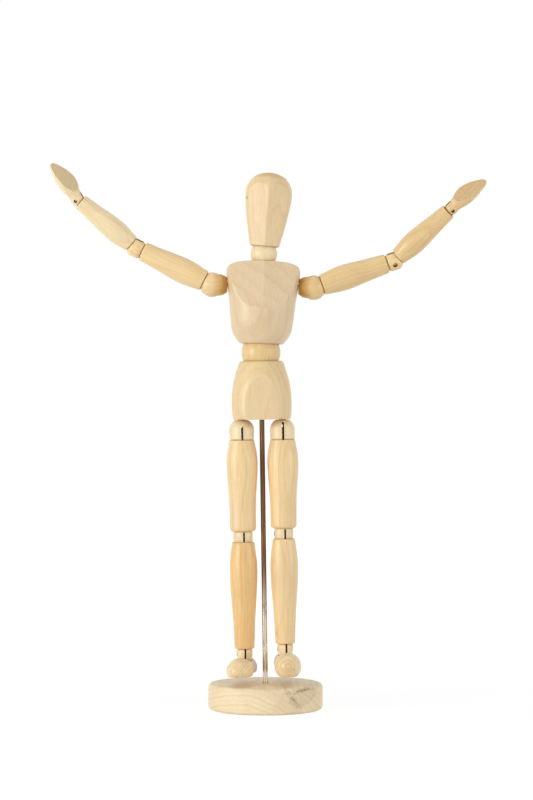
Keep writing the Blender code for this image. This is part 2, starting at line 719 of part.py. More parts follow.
def hand(name, side, mouth):
    """A hand: a slotted wrist ball, a neck and a palm that is cut flat."""
    wrist = arc(0, WRIST_RADIUS, 0, WRIST_ROUND, WRIST_STEPS)
    fingers = smooth([
        wrist[-1],
        (HAND_NECK, -HAND_NECK_AT),
        (HAND_PALM, -HAND_PALM_AT),
        (HAND_FINGERS, -HAND_FINGERS_AT),
        (HAND_TIP, -HAND_LENGTH + HAND_TIP / 3),
    ], LIMB_STEPS)
    item = turned(name, wrist + fingers[1:] + [(0, -HAND_LENGTH)], LIMB_SEGMENTS)
    turn = math.radians(PALM_TURN)
    out = Vector((math.sin(turn), side * math.cos(turn), 0))
    near = out * PALM_NEAR - Vector((0, 0, HAND_NECK_AT))
    along = out * PALM_TIP - Vector((0, 0, HAND_LENGTH)) - near
    flatten(item, near, out - along * (out.dot(along) / along.length_squared))
    slot = slot_tool(WRIST_RADIUS, WRIST_EYE_RADIUS, towards=1)
    return cut(item, slot, pin_hole_tool(WRIST_RADIUS, WRIST_PIN_HOLE, mouth))


def build_arm(chest, label):
    """One arm, from the shoulder ball to the hand."""
    side = SIDES[label]
    outward = Matrix(((0, 0, -side), (-1, 0, 0), (0, side, 0)))
    swing = joint(f"shoulder_swing_{label}", chest, (side * SHOULDER_REACH, 0, SHOULDER_RISE), outward)
    wooden(shoulder_ball(f"shoulder_ball_{label}", SHOULDER_PIN_MOUTH), swing, AMBER_WOOD)
    steel(cross_pin(f"shoulder_pin_{label}", SHOULDER_RADIUS, PIN_RADIUS, SHOULDER_PIN_MOUTH), swing)

    lift = joint(f"arm_raise_{label}", swing, (0, 0, 0), about("X", side * ARM_RAISE[label]))
    upper_arm = limb(
        f"upper_arm_{label}", (SHOULDER_RADIUS, SHOULDER_EXPOSED, UPPER_ARM_TOP),
        (ELBOW_RADIUS, ELBOW_EXPOSED, UPPER_ARM_FOOT), UPPER_ARM_LENGTH,
        (UPPER_ARM_BELLY, UPPER_ARM_BELLY_AT), (UPPER_ARM_NECK, UPPER_ARM_NECK_AT), STEM_BORE,
    )
    wooden(upper_arm, lift)
    steel(tang_link(f"upper_arm_link_{label}", SHOULDER_EXPOSED), lift)

    turn = joint(f"elbow_turn_{label}", lift, (0, 0, -UPPER_ARM_SPAN), about("Z", ELBOW_TURN[label]))
    elbow_side = ELBOW_RADIUS - ELBOW_SIDE_INSET
    mouth = ELBOW_PIN_MOUTH[label]
    elbow = turned(f"elbow_{label}", bead_outline(ELBOW_RADIUS, elbow_side), LIMB_SEGMENTS)
    hole = pin_hole_tool(elbow_side, PIN_HOLE, mouth)
    cut(elbow, slot_tool(ELBOW_RADIUS, EYE_RADIUS), hole, stem_tool(ELBOW_RADIUS))
    wooden(elbow, turn)
    steel(stem(f"elbow_stem_{label}", ELBOW_EXPOSED), turn)
    steel(cross_pin(f"elbow_pin_{label}", elbow_side, PIN_RADIUS, mouth), turn)

    bend = joint(f"elbow_bend_{label}", turn, (0, 0, 0), about("X", side * ELBOW_BEND[label]))
    forearm = limb(
        f"forearm_{label}", (ELBOW_RADIUS, ELBOW_EXPOSED, FOREARM_TOP),
        (WRIST_RADIUS, WRIST_EXPOSED, FOREARM_FOOT), FOREARM_LENGTH + side * FOREARM_UNEVEN,
        (FOREARM_BELLY, FOREARM_BELLY_AT), (FOREARM_NECK, FOREARM_NECK_AT), STEM_BORE,
    )
    wooden(forearm, bend, AMBER_WOOD)
    wrist_drop = FOREARM_SPAN + side * FOREARM_UNEVEN
    steel(through_link(f"forearm_link_{label}", wrist_drop, WRIST_EYE_RADIUS, WRIST_PIN_HOLE), bend)

    wrist = joint(f"wrist_bend_{label}", bend, (0, 0, -wrist_drop), about("X", side * WRIST_BEND[label]))
    wooden(hand(f"hand_{label}", side, WRIST_PIN_MOUTH), wrist)
    steel(cross_pin(f"wrist_pin_{label}", WRIST_RADIUS, WRIST_PIN_RADIUS, WRIST_PIN_MOUTH), wrist)


def hip_ball(name, mouth):
    """A hip bead: a flat on top that runs under the pelvis, a straight side and a wide round end."""
    flat = math.degrees(math.acos(HIP_SEAT / HIP_RADIUS))
    shoulder = math.degrees(math.asin(HIP_SIDE / HIP_RADIUS))
    skirt = math.degrees(math.asin(HIP_SIDE / HIP_SWING_RADIUS))
    dome = arc(0, HIP_RADIUS, flat, shoulder, HIP_STEPS)
    bowl = arc(0, HIP_SWING_RADIUS, 180 - skirt, 180, HIP_STEPS)
    ball = turned(name, [(0, HIP_SEAT), *dome, *bowl], LIMB_SEGMENTS)
    hole = pin_hole_tool(HIP_SIDE, PIN_HOLE, mouth)
    return cut(ball, slot_tool(HIP_SWING_RADIUS, EYE_RADIUS), hole, stem_tool(HIP_SEAT))


def ankle(name, mouth):
    """An ankle: a slotted ball end on a tapered neck, with a spigot that turns in the foot."""
    side = ANKLE_RADIUS - ANKLE_SIDE_INSET
    angle = math.degrees(math.asin(side / ANKLE_RADIUS))
    tail = -(ANKLE_SEAT + ANKLE_SPIGOT)
    spigot = [(STEM_RADIUS, -ANKLE_SEAT), (STEM_RADIUS, tail), (0, tail)]
    neck = [(side, 0), (ANKLE_FOOT_RADIUS, -ANKLE_SEAT)]
    item = turned(name, arc(0, ANKLE_RADIUS, 0, angle, BEAD_STEPS) + neck + spigot, LIMB_SEGMENTS)
    slot = slot_tool(ANKLE_RADIUS, EYE_RADIUS, towards=1)
    return cut(item, slot, pin_hole_tool(side, PIN_HOLE, mouth))


def foot(name, side):
    """A foot: a spindle turned along Y, with a flat sole and a round seat for the ankle."""
    heel = arc(FOOT_HEEL - FOOT_HEEL_RADIUS, FOOT_HEEL_RADIUS, 0, 90, HEEL_STEPS)
    stretch = (FOOT_TOE - FOOT_TOE_CENTRE) / FOOT_TOE_RADIUS
    cap = arc(0, FOOT_TOE_RADIUS, FOOT_TOE_ROUND, 180, TOE_STEPS)
    toe = [(radius, along * stretch - FOOT_TOE_CENTRE) for radius, along in cap]
    middle = (FOOT_WAIST_RADIUS, (FOOT_HEEL - FOOT_HEEL_RADIUS - FOOT_TOE_CENTRE) / 2)
    instep = smooth([heel[-1], middle, toe[0]], FOOT_STEPS)
    item = turned(name, heel + instep[1:] + toe[1:], LIMB_SEGMENTS)
    item.data.transform(Matrix.Rotation(math.radians(-90), 4, "X"))
    sole = SOLE_BELOW_FOOT_AXIS + side * SOLE_UNEVEN
    flatten(item, (0, 0, -sole), (0, 0, -1))
    item.data.transform(Matrix.Translation((0, 0, -FOOT_AXIS_BELOW_ANKLE)))
    seat = -(ANKLE_SEAT + FIT_GAP)
    bottom = seat - ANKLE_SPIGOT
    narrow = ANKLE_FOOT_RADIUS + FIT_GAP
    wide = ANKLE_RADIUS - ANKLE_SIDE_INSET + FIT_GAP
    cone = [(0, ANKLE_RADIUS), (wide, ANKLE_RADIUS), (wide, 0), (narrow, seat)]
    spigot = [(STEM_BORE, seat), (STEM_BORE, bottom), (0, bottom)]
    return cut(item, turned("ankle seat", cone + spigot, LIMB_SEGMENTS))


def build_leg(pelvis, label):
    """One leg, from the hip ball to the foot."""
    side = SIDES[label]
    hip_drop = HIP_SEAT + FIT_GAP
    turn = joint(f"hip_turn_{label}", pelvis, (side * HIP_SPREAD, 0, -hip_drop), about("Z", HIP_TURN[label]))
    wooden(hip_ball(f"hip_ball_{label}", LEG_PIN_MOUTH), turn, AMBER_WOOD)
    steel(stem(f"hip_stem_{label}", hip_drop - FIT_GAP), turn)
    steel(cross_pin(f"hip_pin_{label}", HIP_SIDE, PIN_RADIUS, LEG_PIN_MOUTH), turn)

    swing = joint(f"thigh_swing_{label}", turn, (0, 0, 0))
    thigh = limb(
        f"thigh_{label}", (HIP_SWING_RADIUS, HIP_EXPOSED, THIGH_TOP),
        (KNEE_RADIUS, KNEE_EXPOSED, THIGH_FOOT), THIGH_LENGTH - side * THIGH_UNEVEN,
        (THIGH_BELLY, THIGH_BELLY_AT), (THIGH_NECK, THIGH_NECK_AT), STEM_BORE,
    )
    wooden(thigh, swing)
    steel(tang_link(f"thigh_link_{label}", HIP_EXPOSED), swing)

    knee_drop = THIGH_SPAN - side * THIGH_UNEVEN
    knee_turn = joint(f"knee_turn_{label}", swing, (0, 0, -knee_drop), about("Z", KNEE_TURN[label]))
    knee_side = KNEE_RADIUS - KNEE_SIDE_INSET
    knee = turned(f"knee_{label}", bead_outline(KNEE_RADIUS, knee_side), LIMB_SEGMENTS)
    hole = pin_hole_tool(knee_side, PIN_HOLE, LEG_PIN_MOUTH)
    cut(knee, slot_tool(KNEE_RADIUS, EYE_RADIUS), hole, stem_tool(KNEE_RADIUS))
    wooden(knee, knee_turn)
    steel(stem(f"knee_stem_{label}", KNEE_EXPOSED), knee_turn)
    steel(cross_pin(f"knee_pin_{label}", knee_side, PIN_RADIUS, LEG_PIN_MOUTH), knee_turn)

    bend = joint(f"knee_bend_{label}", knee_turn, (0, 0, 0))
    shin = limb(
        f"shin_{label}", (KNEE_RADIUS, KNEE_EXPOSED, SHIN_TOP),
        (ANKLE_RADIUS, ANKLE_EXPOSED, SHIN_FOOT), SHIN_LENGTH - side * SHIN_UNEVEN,
        (SHIN_BELLY, SHIN_BELLY_AT), (SHIN_NECK, SHIN_NECK_AT), STEM_BORE,
    )
    wooden(shin, bend, AMBER_WOOD)
    ankle_drop = SHIN_SPAN - side * SHIN_UNEVEN
    steel(through_link(f"shin_link_{label}", ankle_drop, EYE_RADIUS, PIN_HOLE), bend)

    flex = joint(f"ankle_bend_{label}", bend, (0, 0, -ankle_drop))
    ankle_side = ANKLE_RADIUS - ANKLE_SIDE_INSET
    wooden(ankle(f"ankle_{label}", LEG_PIN_MOUTH), flex)
    steel(cross_pin(f"ankle_pin_{label}", ankle_side, PIN_RADIUS, LEG_PIN_MOUTH), flex)

    foot_turn = joint(f"foot_turn_{label}", flex, (0, 0, 0), about("Z", FOOT_TURN[label]))
    wooden(foot(f"foot_{label}", side), foot_turn, PINK_WOOD)


def main():
    """Build the stand and the figure on it."""
    clear_scene()
    stand = build_stand()
    pelvis = build_pelvis(stand)
    waist = build_waist(pelvis)
    chest = build_chest(waist)
    build_head(chest)
    for label in SIDES:
        build_arm(chest, label)
        build_leg(pelvis, label)
    bpy.context.view_layer.update()


main()
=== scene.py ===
"""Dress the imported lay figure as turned, sanded and varnished wood on steel, in a pale studio.

Each piece is modelled in millimetres in its own turning frame: it is turned about Z, and its cross
pin lies along X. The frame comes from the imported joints, so a piece lands where its solid is.
"""

import json
import logging
import math
from collections.abc import Sequence
from dataclasses import dataclass, replace
from enum import Enum
from typing import ClassVar

import bmesh
import bpy
from bmesh.types import BMEdge, BMesh, BMVert
from bpy.types import Material, Mesh, Node, NodeSocket, ShaderNodeTree
from mathutils import Matrix, Vector

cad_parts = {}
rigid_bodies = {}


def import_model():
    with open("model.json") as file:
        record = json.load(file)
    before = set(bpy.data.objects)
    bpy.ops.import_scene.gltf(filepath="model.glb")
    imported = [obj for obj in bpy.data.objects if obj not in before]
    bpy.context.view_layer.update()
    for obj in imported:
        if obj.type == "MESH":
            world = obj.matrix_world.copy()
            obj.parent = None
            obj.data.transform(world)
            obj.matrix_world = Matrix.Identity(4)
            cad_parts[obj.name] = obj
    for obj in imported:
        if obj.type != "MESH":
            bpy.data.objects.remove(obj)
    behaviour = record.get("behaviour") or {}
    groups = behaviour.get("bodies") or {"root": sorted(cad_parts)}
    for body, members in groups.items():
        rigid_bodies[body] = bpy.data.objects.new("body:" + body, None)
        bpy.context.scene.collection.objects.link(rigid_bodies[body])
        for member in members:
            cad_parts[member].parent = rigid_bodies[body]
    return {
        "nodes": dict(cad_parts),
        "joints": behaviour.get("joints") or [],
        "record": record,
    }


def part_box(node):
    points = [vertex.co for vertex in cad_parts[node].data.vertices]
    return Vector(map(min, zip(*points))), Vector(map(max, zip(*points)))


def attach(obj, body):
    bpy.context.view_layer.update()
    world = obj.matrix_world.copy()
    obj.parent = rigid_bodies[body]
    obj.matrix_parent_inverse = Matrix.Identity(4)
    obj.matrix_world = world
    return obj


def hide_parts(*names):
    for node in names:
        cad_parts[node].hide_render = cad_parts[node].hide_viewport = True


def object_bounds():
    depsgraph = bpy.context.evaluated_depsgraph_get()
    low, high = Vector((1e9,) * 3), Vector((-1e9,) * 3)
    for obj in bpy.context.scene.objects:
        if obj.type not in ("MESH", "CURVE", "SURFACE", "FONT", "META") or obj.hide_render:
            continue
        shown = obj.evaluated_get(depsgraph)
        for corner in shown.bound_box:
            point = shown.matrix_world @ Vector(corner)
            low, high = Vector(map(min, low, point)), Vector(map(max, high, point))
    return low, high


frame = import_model()
CAD_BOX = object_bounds()

LOG = logging.getLogger("lay_figure")
JOINTS = {joint["name"]: joint for joint in frame["joints"]}
BODIES = frame["record"]["behaviour"]["bodies"]
BODY_OF = {node: body for body, nodes in BODIES.items() for node in nodes}

MM = 0.001
FRONT = Vector((0.0, -1.0, 0.0))
FIGURE_LEFT = Vector((1.0, 0.0, 0.0))
UP = Vector((0.0, 0.0, 1.0))

# Fineness of the meshes: millimetres along an outline, degrees along an arc or a limb's rounded
# edge, facets round a piece
CURVE_STEP = 0.7
ARC_STEP = 5.0
EDGE_STEP = 15.0
TRUNK_FACETS = 160
LIMB_FACETS = 112
BEAD_FACETS = 80
STEEL_FACETS = 40
WIRE_FACETS = 12
MERGE_DISTANCE = 0.0005
SHARP_ANGLE = math.radians(32.0)

# Share of a flat's direction below which a surface turns away from it and isn't sanded
GLANCING = 0.05

# Painted shade from which a part of a turned outline counts as inside a dish or a bore
INSIDE_SHADING = 0.5

# What is added to a seed on the figure's right, so that its wood differs from the left's
RIGHT_SEED = 31

# Where a seed puts the pith: the turn for each seed, and the least distance, step and spread in
# millimetres
PITH_TURN = math.radians(137.5)
PITH_LEAST = 16.0
PITH_STEP = 7
PITH_SPREAD = 23

Point = tuple[float, float]
Colour = tuple[float, float, float, float]
Feed = NodeSocket | float | tuple[float, ...]

# Linear colours of what marks the wood, and of the painted highlight and painted shade on it
FLECK = (0.36, 0.2, 0.09, 1.0)
# Painted highlight along the edges of sanded flats
EDGE_HIGHLIGHT = (1.0, 0.86, 0.6, 1.0)
# Amber painted shade and warm reflection in hollows, at rims and by the chest, with some varnish
# gathered there
AMBER_SHADE_AND_VARNISH = (0.68, 0.46, 0.09, 1.0)
# Dark painted shade deep in dishes, bores and at the rims of limb ends
RECESS_SHADE = (0.1, 0.055, 0.022, 1.0)
KNOT_HALO = (0.36, 0.23, 0.11, 1.0)
KNOT_HEART = (0.13, 0.07, 0.03, 1.0)
# Painted shade inside saw slots and drilled holes
SLOT_SHADE_DARK = (0.05, 0.028, 0.012, 1.0)
SLOT_SHADE_PALE = (0.16, 0.09, 0.04, 1.0)

# Strength of every relief, and its depth in millimetres on each kind of surface
RELIEF_STRENGTH = 0.6
WOOD_RELIEF = 0.04
SAWN_RELIEF = 0.08
STEEL_RELIEF = 0.01

# The varnish's gloss, how square to the grain a face is where its end grain starts and is full,
# and how strong a knot's halo is beside its heart
VARNISH_SPECULAR = 0.4
VARNISH_ROUGHNESS = 0.3
END_GRAIN_FACES = (0.6, 0.97)
HALO_SHARE = 0.6


class Side(Enum):
    """The two sides of the figure; the value is the side's direction along X."""

    LEFT = 1
    RIGHT = -1

    @property
    def label(self) -> str:
        """The side's word in the names of nodes and joints."""
        return self.name.lower()


class Mouth(Enum):
    """The end of a cross pin, along the pin's own X, at which its hole is open."""

    PLUS = 1
    MINUS = -1


class Slot(Enum):
    """The record's material slots."""

    PALE = "wood_pale"
    PINK = "wood_pink"
    AMBER = "wood_amber"
    STEEL = "steel"


class Grime(float, Enum):
    """How much painted shade, amber and dark, a part of a turned outline takes in its hollows and at
    its rims.
    """

    CLEAN = 0.0
    LIP = 0.3
    RIM = 0.6
    CUP = 0.8
    BORE = 1.0


@dataclass(frozen=True)
class Fits:
    """Clearances and steel sizes that the joints share, in millimetres.

    Attributes:
        gap: Clearance of a pin or stem in its hole.
        dish: Clearance of a bead in a limb's hollow dish.
        slot: Width of a saw slot.
        pin: Radius of a cross pin.
        wrist_pin: Radius of a wrist's cross pin.
        recess: How far a pin's end lies inside the mouth of its hole.
        cover: Wood left at a pin hole's blind end.
        eye_wall: Steel round the pin in a link's eye.
        strip: Thickness of a link.
        strip_half: Half the width of a link.
        tang: Length of a link's tail inside a limb.
        floor: Wood between a link's eye and the end of its slot.
        stem: Radius of a turning stem.
        stem_reach: Length of a stem inside the piece that it turns in.
        stem_wall: Wood between a slot and a stem.
        stem_chamfer: Chamfer of a stem's ends.
        rod_chamfer: Chamfer of the ends of the rod and of the shoulders' axle.
        pin_chamfer: Chamfer of a pin's ends, as a share of its radius.
    """

    gap: float = 0.3
    dish: float = 0.35
    slot: float = 1.0
    pin: float = 1.0
    wrist_pin: float = 0.7
    recess: float = 0.9
    cover: float = 1.2
    eye_wall: float = 0.7
    strip: float = 0.5
    strip_half: float = 1.45
    tang: float = 14.0
    floor: float = 0.5
    stem: float = 2.0
    stem_reach: float = 10.0
    stem_wall: float = 0.5
    stem_chamfer: float = 0.3
    rod_chamfer: float = 0.2
    pin_chamfer: float = 0.15

    @property
    def stem_bore(self) -> float:
        """Radius of a stem's bore."""
        return self.stem + self.gap

    @property
    def stem_floor(self) -> float:
        """Height above a bead's pin at which its stem's bore ends."""
        return self.eye(self.pin) + self.floor + self.stem_wall

    def eye(self, pin: float) -> float:
        """Outer radius of a link's eye on a pin of some radius."""
        return pin + self.gap + self.eye_wall


FITS = Fits()


def joint_spot(name: str) -> Vector:
    """Where a packed joint lies at rest, in metres."""
    return Vector(JOINTS[name]["pos_m"])


def joint_axis(name: str, towards: Vector) -> Vector:
    """A packed joint's axis at rest, taken in the sense that points towards a direction."""
    axis = Vector(JOINTS[name]["axis"])
    return axis if axis.dot(towards) >= 0 else -axis


def seat(spot: Vector, along_x: Vector, along_z: Vector) -> Matrix:
    """A turning frame from its origin, the direction of its pin and its turning axis.

    Args:
        spot: The origin, in metres.
        along_x: Direction of the pin, made square to the axis.
        along_z: Direction of the turning axis.

    Returns:
        The frame.
    """
    z_axis = along_z.normalized()
    y_axis = z_axis.cross(along_x).normalized()
    turn = Matrix((y_axis.cross(z_axis), y_axis, z_axis)).transposed()
    return Matrix.Translation(spot) @ turn.to_4x4()


def farthest_point(node: str, spot: Vector) -> Vector:
    """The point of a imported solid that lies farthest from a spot, in metres."""
    points = (vert.co.copy() for vert in frame["nodes"][node].data.vertices)
    return max(points, key=lambda point: (point - spot).length)


class Outline:
    """Half a turned section in millimetres, drawn from its first end to its last.

    Attributes:
        points: Radius, height and painted shade of each point.
        shading: Painted shade, from 0 to 1, of the points that are drawn next.
    """

    def __init__(self, grime: float = Grime.CLEAN) -> None:
        """Start an empty outline."""
        self.points: list[Vector] = []
        self.grime = grime

    def soiled(self, grime: float) -> "Outline":
        """Set the painted shade of what is drawn next."""
        self.grime = grime
        return self

    def to(self, radius: float, height: float) -> "Outline":
        """Draw a straight line to a point."""
        self.points.append(Vector((radius, height, self.grime)))
        return self

    def arc(
        self, centre: float, radius: float, start: float, end: float, across: float = 0.0,
    ) -> "Outline":
        """Draw a round stretch.

        Args:
            centre: Height of the arc's centre.
            radius: Radius of the arc.
            start: First angle from +Z, in degrees.
            end: Last angle from +Z, in degrees.
            across: Distance of the arc's centre from the turning axis.

        Returns:
            The outline itself.
        """
        steps = max(3, math.ceil(abs(end - start) / ARC_STEP))
        for step in range(steps + 1):
            angle = math.radians(start + (end - start) * step / steps)
            self.to(across + radius * math.sin(angle), centre + radius * math.cos(angle))
        return self

    def through(self, *stations: Point) -> "Outline":
        """Draw a smooth curve from the last point through some (radius, height) stations.

        Args:
            *stations: The points that the curve passes; one on the axis is met square to it.

        Returns:
            The outline itself.
        """
        knots = [self.points[-1].xy, *(Vector(station) for station in stations)]
        last = knots[-2]
        beyond = Vector((-last.x, last.y)) if knots[-1].x == 0 else 2 * knots[-1] - last
        knots = [2 * knots[0] - knots[1], *knots, beyond]
        for index in range(1, len(knots) - 2):
            stretch = knots[index - 1:index + 3]
            steps = max(2, math.ceil((stretch[2] - stretch[1]).length / CURVE_STEP))
            for step in range(1, steps + 1):
                self.to(*curve_point(stretch, step / steps))
        return self


def curve_point(knots: Sequence[Vector], share: float) -> Vector:
    """A point between the second and third of four knots, on a curve that never overshoots them.

    Args:
        knots: Four points of the curve, in order.
        share: How far along the middle stretch the point lies, from 0 to 1.

    Returns:
        The point.
    """
    times = [0.0]
    for first, second in zip(knots, knots[1:]):
        times.append(times[-1] + math.sqrt((second - first).length))
    now = times[1] + (times[2] - times[1]) * share
    layer = list(knots)
    for span in (1, 2):
        layer = [
            first.lerp(second, (now - times[index]) / (times[index + span] - times[index]))
            for index, (first, second) in enumerate(zip(layer, layer[1:]))
        ]
    return layer[0].lerp(layer[1], share)


def turn(outline: Outline, facets: int, loop: bool = False) -> BMesh:
    """Turn an outline about Z.

    Args:
        outline: Half the section.
        facets: Number of faces round the piece.
        loop: Whether the outline's last point joins its first, round a bore.

    Returns:
        The turned shape in millimetres, with its painted shade on its vertices.
    """
    bm = bmesh.new()
    grime = bm.verts.layers.float.new("grime")
    verts = []
    for point in outline.points:
        vert = bm.verts.new((point.x, 0.0, point.y))
        vert[grime] = point.z
        verts.append(vert)
    ends = verts[1:] + verts[:1] if loop else verts[1:]
    edges = [bm.edges.new(pair) for pair in zip(verts, ends)]
    bmesh.ops.spin(
        bm, geom=verts + edges, cent=(0, 0, 0), axis=UP, angle=math.tau, steps=facets, use_merge=True,
    )
    bmesh.ops.remove_doubles(bm, verts=bm.verts, dist=MERGE_DISTANCE)
    bmesh.ops.recalc_face_normals(bm, faces=bm.faces)
    return bm


def bar(
    radius: float, low: float, high: float, facets: int = STEEL_FACETS, chamfer: float = 0.0,
) -> BMesh:
    """A round bar along Z, with chamfered ends if wanted.

    Args:
        radius: Its radius.
        low: Height of its lower end.
        high: Height of its upper end.
        facets: Number of faces round it.
        chamfer: Chamfer of its ends.

    Returns:
        The bar.
    """
    outline = Outline().to(0, high).to(radius - chamfer, high)
    if chamfer:
        outline.to(radius, high - chamfer).to(radius, low + chamfer)
    else:
        outline.to(radius, high)
    return turn(outline.to(radius - chamfer, low).to(0, low), facets)


def lay_along_x(bm: BMesh, flip: bool = False) -> BMesh:
    """Turn a shape so that its +Z end points along +X, or along -X if flipped.

    Args:
        bm: The shape.
        flip: Whether it points along -X.

    Returns:
        The shape itself.
    """
    angle = math.radians(-90.0 if flip else 90.0)
    bmesh.ops.rotate(bm, cent=(0, 0, 0), matrix=Matrix.Rotation(angle, 3, "Y"), verts=bm.verts)
    return bm


def moved(bm: BMesh, offset: Sequence[float]) -> BMesh:
    """Shift a shape."""
    bmesh.ops.translate(bm, vec=offset, verts=bm.verts)
    return bm


def facing(turned: float, lean: float) -> Vector:
    """The front, turned towards the figure's left and leaned up by so many degrees."""
    level = Matrix.Rotation(math.radians(turned), 3, "Z") @ FRONT
    return level * math.cos(math.radians(lean)) + UP * math.sin(math.radians(lean))


def smoothstep(low: float, high: float, value: float) -> float:
    """Rise smoothly from 0 to 1 between two values."""
    share = min(max((value - low) / (high - low), 0.0), 1.0)
    return share * share * (3.0 - 2.0 * share)


def outer_verts(bm: BMesh) -> list[BMVert]:
    """The vertices outside a turned shape's dishes and bores, known by their lack of painted shade."""
    grime = bm.verts.layers.float["grime"]
    return [vert for vert in bm.verts if vert[grime] < INSIDE_SHADING]


def sand(bm: BMesh, point: Sequence[float], normal: Vector, softness: float) -> None:
    """Sand a flat on a turned shape, drawing in whatever stands beyond a plane.

    The flat and its edge are kept as two vertex layers, for the finish; the edge gets a painted
    highlight.

    Args:
        bm: The turned shape.
        point: A point of the plane, in millimetres.
        normal: The plane's outward direction.
        softness: How far the flat's edges are rounded over, in millimetres.
    """
    sanded = bm.verts.layers.float.get("sanded") or bm.verts.layers.float.new("sanded")
    edge = bm.verts.layers.float.get("edge") or bm.verts.layers.float.new("edge")
    level = normal.dot(Vector(point))
    for vert in outer_verts(bm):
        out = Vector((vert.co.x, vert.co.y, 0.0))
        radius = out.length
        lean = normal.dot(out)
        if lean <= GLANCING * radius or radius == 0.0:
            continue
        proud = radius * (1.0 - (level - normal.z * vert.co.z) / lean)
        if proud <= -softness:
            continue
        blend = max(softness - abs(proud), 0.0) / softness
        vert.co -= out / radius * (max(proud, 0.0) + blend * blend * softness / 4.0)
        share = smoothstep(-softness, softness, proud)
        vert[sanded] = max(vert[sanded], share)
        vert[edge] = max(vert[edge] * (1.0 - share), 4.0 * share * (1.0 - share))


def plane_off(bm: BMesh, point: Vector, normal: Vector, softness: float) -> None:
    """Cut a flat with a crisp rim right across a turned shape.

    Args:
        bm: The turned shape.
        point: A point of the flat, in millimetres.
        normal: The flat's outward direction.
        softness: Width of the rounded rim, in millimetres.
    """
    sanded = bm.verts.layers.float.new("sanded")
    parts = bm.verts[:] + bm.edges[:] + bm.faces[:]
    cut = bmesh.ops.bisect_plane(
        bm, geom=parts, dist=softness, plane_co=point, plane_no=normal,
        use_snap_center=True, clear_outer=True,
    )["geom_cut"]
    rim = [item for item in cut if isinstance(item, BMEdge) and item.is_boundary]
    flat = bmesh.ops.edgeloop_fill(bm, edges=rim)["faces"]
    bmesh.ops.inset_region(bm, faces=flat, thickness=softness)
    for vert in {vert for face in flat for vert in face.verts}:
        vert[sanded] = 1.0
    bmesh.ops.recalc_face_normals(bm, faces=bm.faces)


def mesh_from(bm: BMesh, name: str) -> Mesh:
    """Make a mesh of a bmesh, which is used up.

    Args:
        bm: The shape.
        name: The mesh's name.

    Returns:
        The mesh.
    """
    mesh = bpy.data.meshes.new(name)
    bm.to_mesh(mesh)
    bm.free()
    return mesh


def slot_tool(
    reach: float, pin: float, opens_up: bool = False, wider: float = 0.0, deeper: float = 0.0,
) -> BMesh:
    """The saw slot that a link's eye swings in.

    Args:
        reach: Radius of the bead that is sawn.
        pin: Radius of the pin across the slot.
        opens_up: Whether the slot opens towards +Z instead of -Z.
        wider: How much wider than the others the slot is sawn.
        deeper: How much deeper than the others the slot is sawn.

    Returns:
        The slot's shape.
    """
    bm = bmesh.new()
    bmesh.ops.create_cube(bm, size=1.0)
    depth = FITS.eye(pin) + FITS.floor + deeper
    length = depth + 2.0 * reach
    bmesh.ops.scale(bm, vec=(FITS.slot + wider, 4.0 * reach, length), verts=bm.verts)
    middle = depth - length / 2.0
    return moved(bm, (0, 0, -middle if opens_up else middle))


def pin_hole(side: float, pin: float, mouth: Mouth) -> BMesh:
    """The blind hole of a cross pin, drilled in from one side of a bead."""
    return lay_along_x(bar(pin + FITS.gap, FITS.cover - side, 2.0 * side), mouth is Mouth.MINUS)


def cross_pin(side: float, pin: float, mouth: Mouth) -> BMesh:
    """A cross pin, sunk a little in the mouth of its hole."""
    shape = bar(pin, FITS.cover + FITS.gap - side, side - FITS.recess, chamfer=FITS.pin_chamfer * pin)
    return lay_along_x(shape, mouth is Mouth.MINUS)


def eye_curve(centre: float, radius: float, towards: int, count: int = 25) -> list[Point]:
    """The outside of a link's eye, from one side of its strip to the other.

    Args:
        centre: Height of the eye.
        radius: Outer radius of the eye.
        towards: Direction along Z, 1 or -1, in which the strip leaves the eye.
        count: Number of points.

    Returns:
        The (y, z) points.
    """
    opening = math.asin(FITS.strip_half / radius)
    points = []
    for step in range(count):
        angle = opening + (math.tau - 2.0 * opening) * step / (count - 1)
        across, along = radius * math.sin(angle), radius * math.cos(angle)
        points.append((-towards * across, centre + towards * along))
    return points


def link(outline: Sequence[Point], holes: Sequence[Point]) -> BMesh:
    """A flat steel link.

    Args:
        outline: Its (y, z) edge.
        holes: Height and radius of each round hole.

    Returns:
        The strip.
    """
    bm = bmesh.new()
    verts = [bm.verts.new((0.0, y, z)) for y, z in outline]
    edges = [bm.edges.new((verts[index - 1], verts[index])) for index in range(len(verts))]
    upright = Matrix.Rotation(math.radians(90.0), 4, "Y")
    for height, radius in holes:
        place = Matrix.Translation((0, 0, height)) @ upright
        ring = bmesh.ops.create_circle(bm, segments=STEEL_FACETS, radius=radius, matrix=place)["verts"]
        edges += {edge for vert in ring for edge in vert.link_edges}
    bmesh.ops.triangle_fill(bm, edges=edges, use_beauty=True)
    grown = bmesh.ops.extrude_face_region(bm, geom=bm.faces[:])["geom"]
    lifted = [item for item in grown if isinstance(item, BMVert)]
    bmesh.ops.translate(bm, vec=(FITS.strip, 0, 0), verts=lifted)
    moved(bm, (-FITS.strip / 2.0, 0, 0))
    bmesh.ops.recalc_face_normals(bm, faces=bm.faces)
    return bm


def tang_link(exposed: float) -> BMesh:
    """A link whose eye swings on a pin and whose tail sits in the limb below.

    Args:
        exposed: Distance from the pin to the limb's end.

    Returns:
        The strip.
    """
    eye = FITS.eye(FITS.pin)
    tail = -(exposed + FITS.tang)
    outline = eye_curve(0.0, eye, -1) + [(-FITS.strip_half, tail), (FITS.strip_half, tail)]
    return link(outline, [(0.0, FITS.pin + FITS.gap)])


def through_link(span: float, lower_pin: float) -> BMesh:
    """A link that runs through a limb, with an eye on the pin at either end."""
    outline = eye_curve(0.0, FITS.eye(FITS.pin), -1) + eye_curve(-span, FITS.eye(lower_pin), 1)
    return link(outline, [(0.0, FITS.pin + FITS.gap), (-span, lower_pin + FITS.gap)])


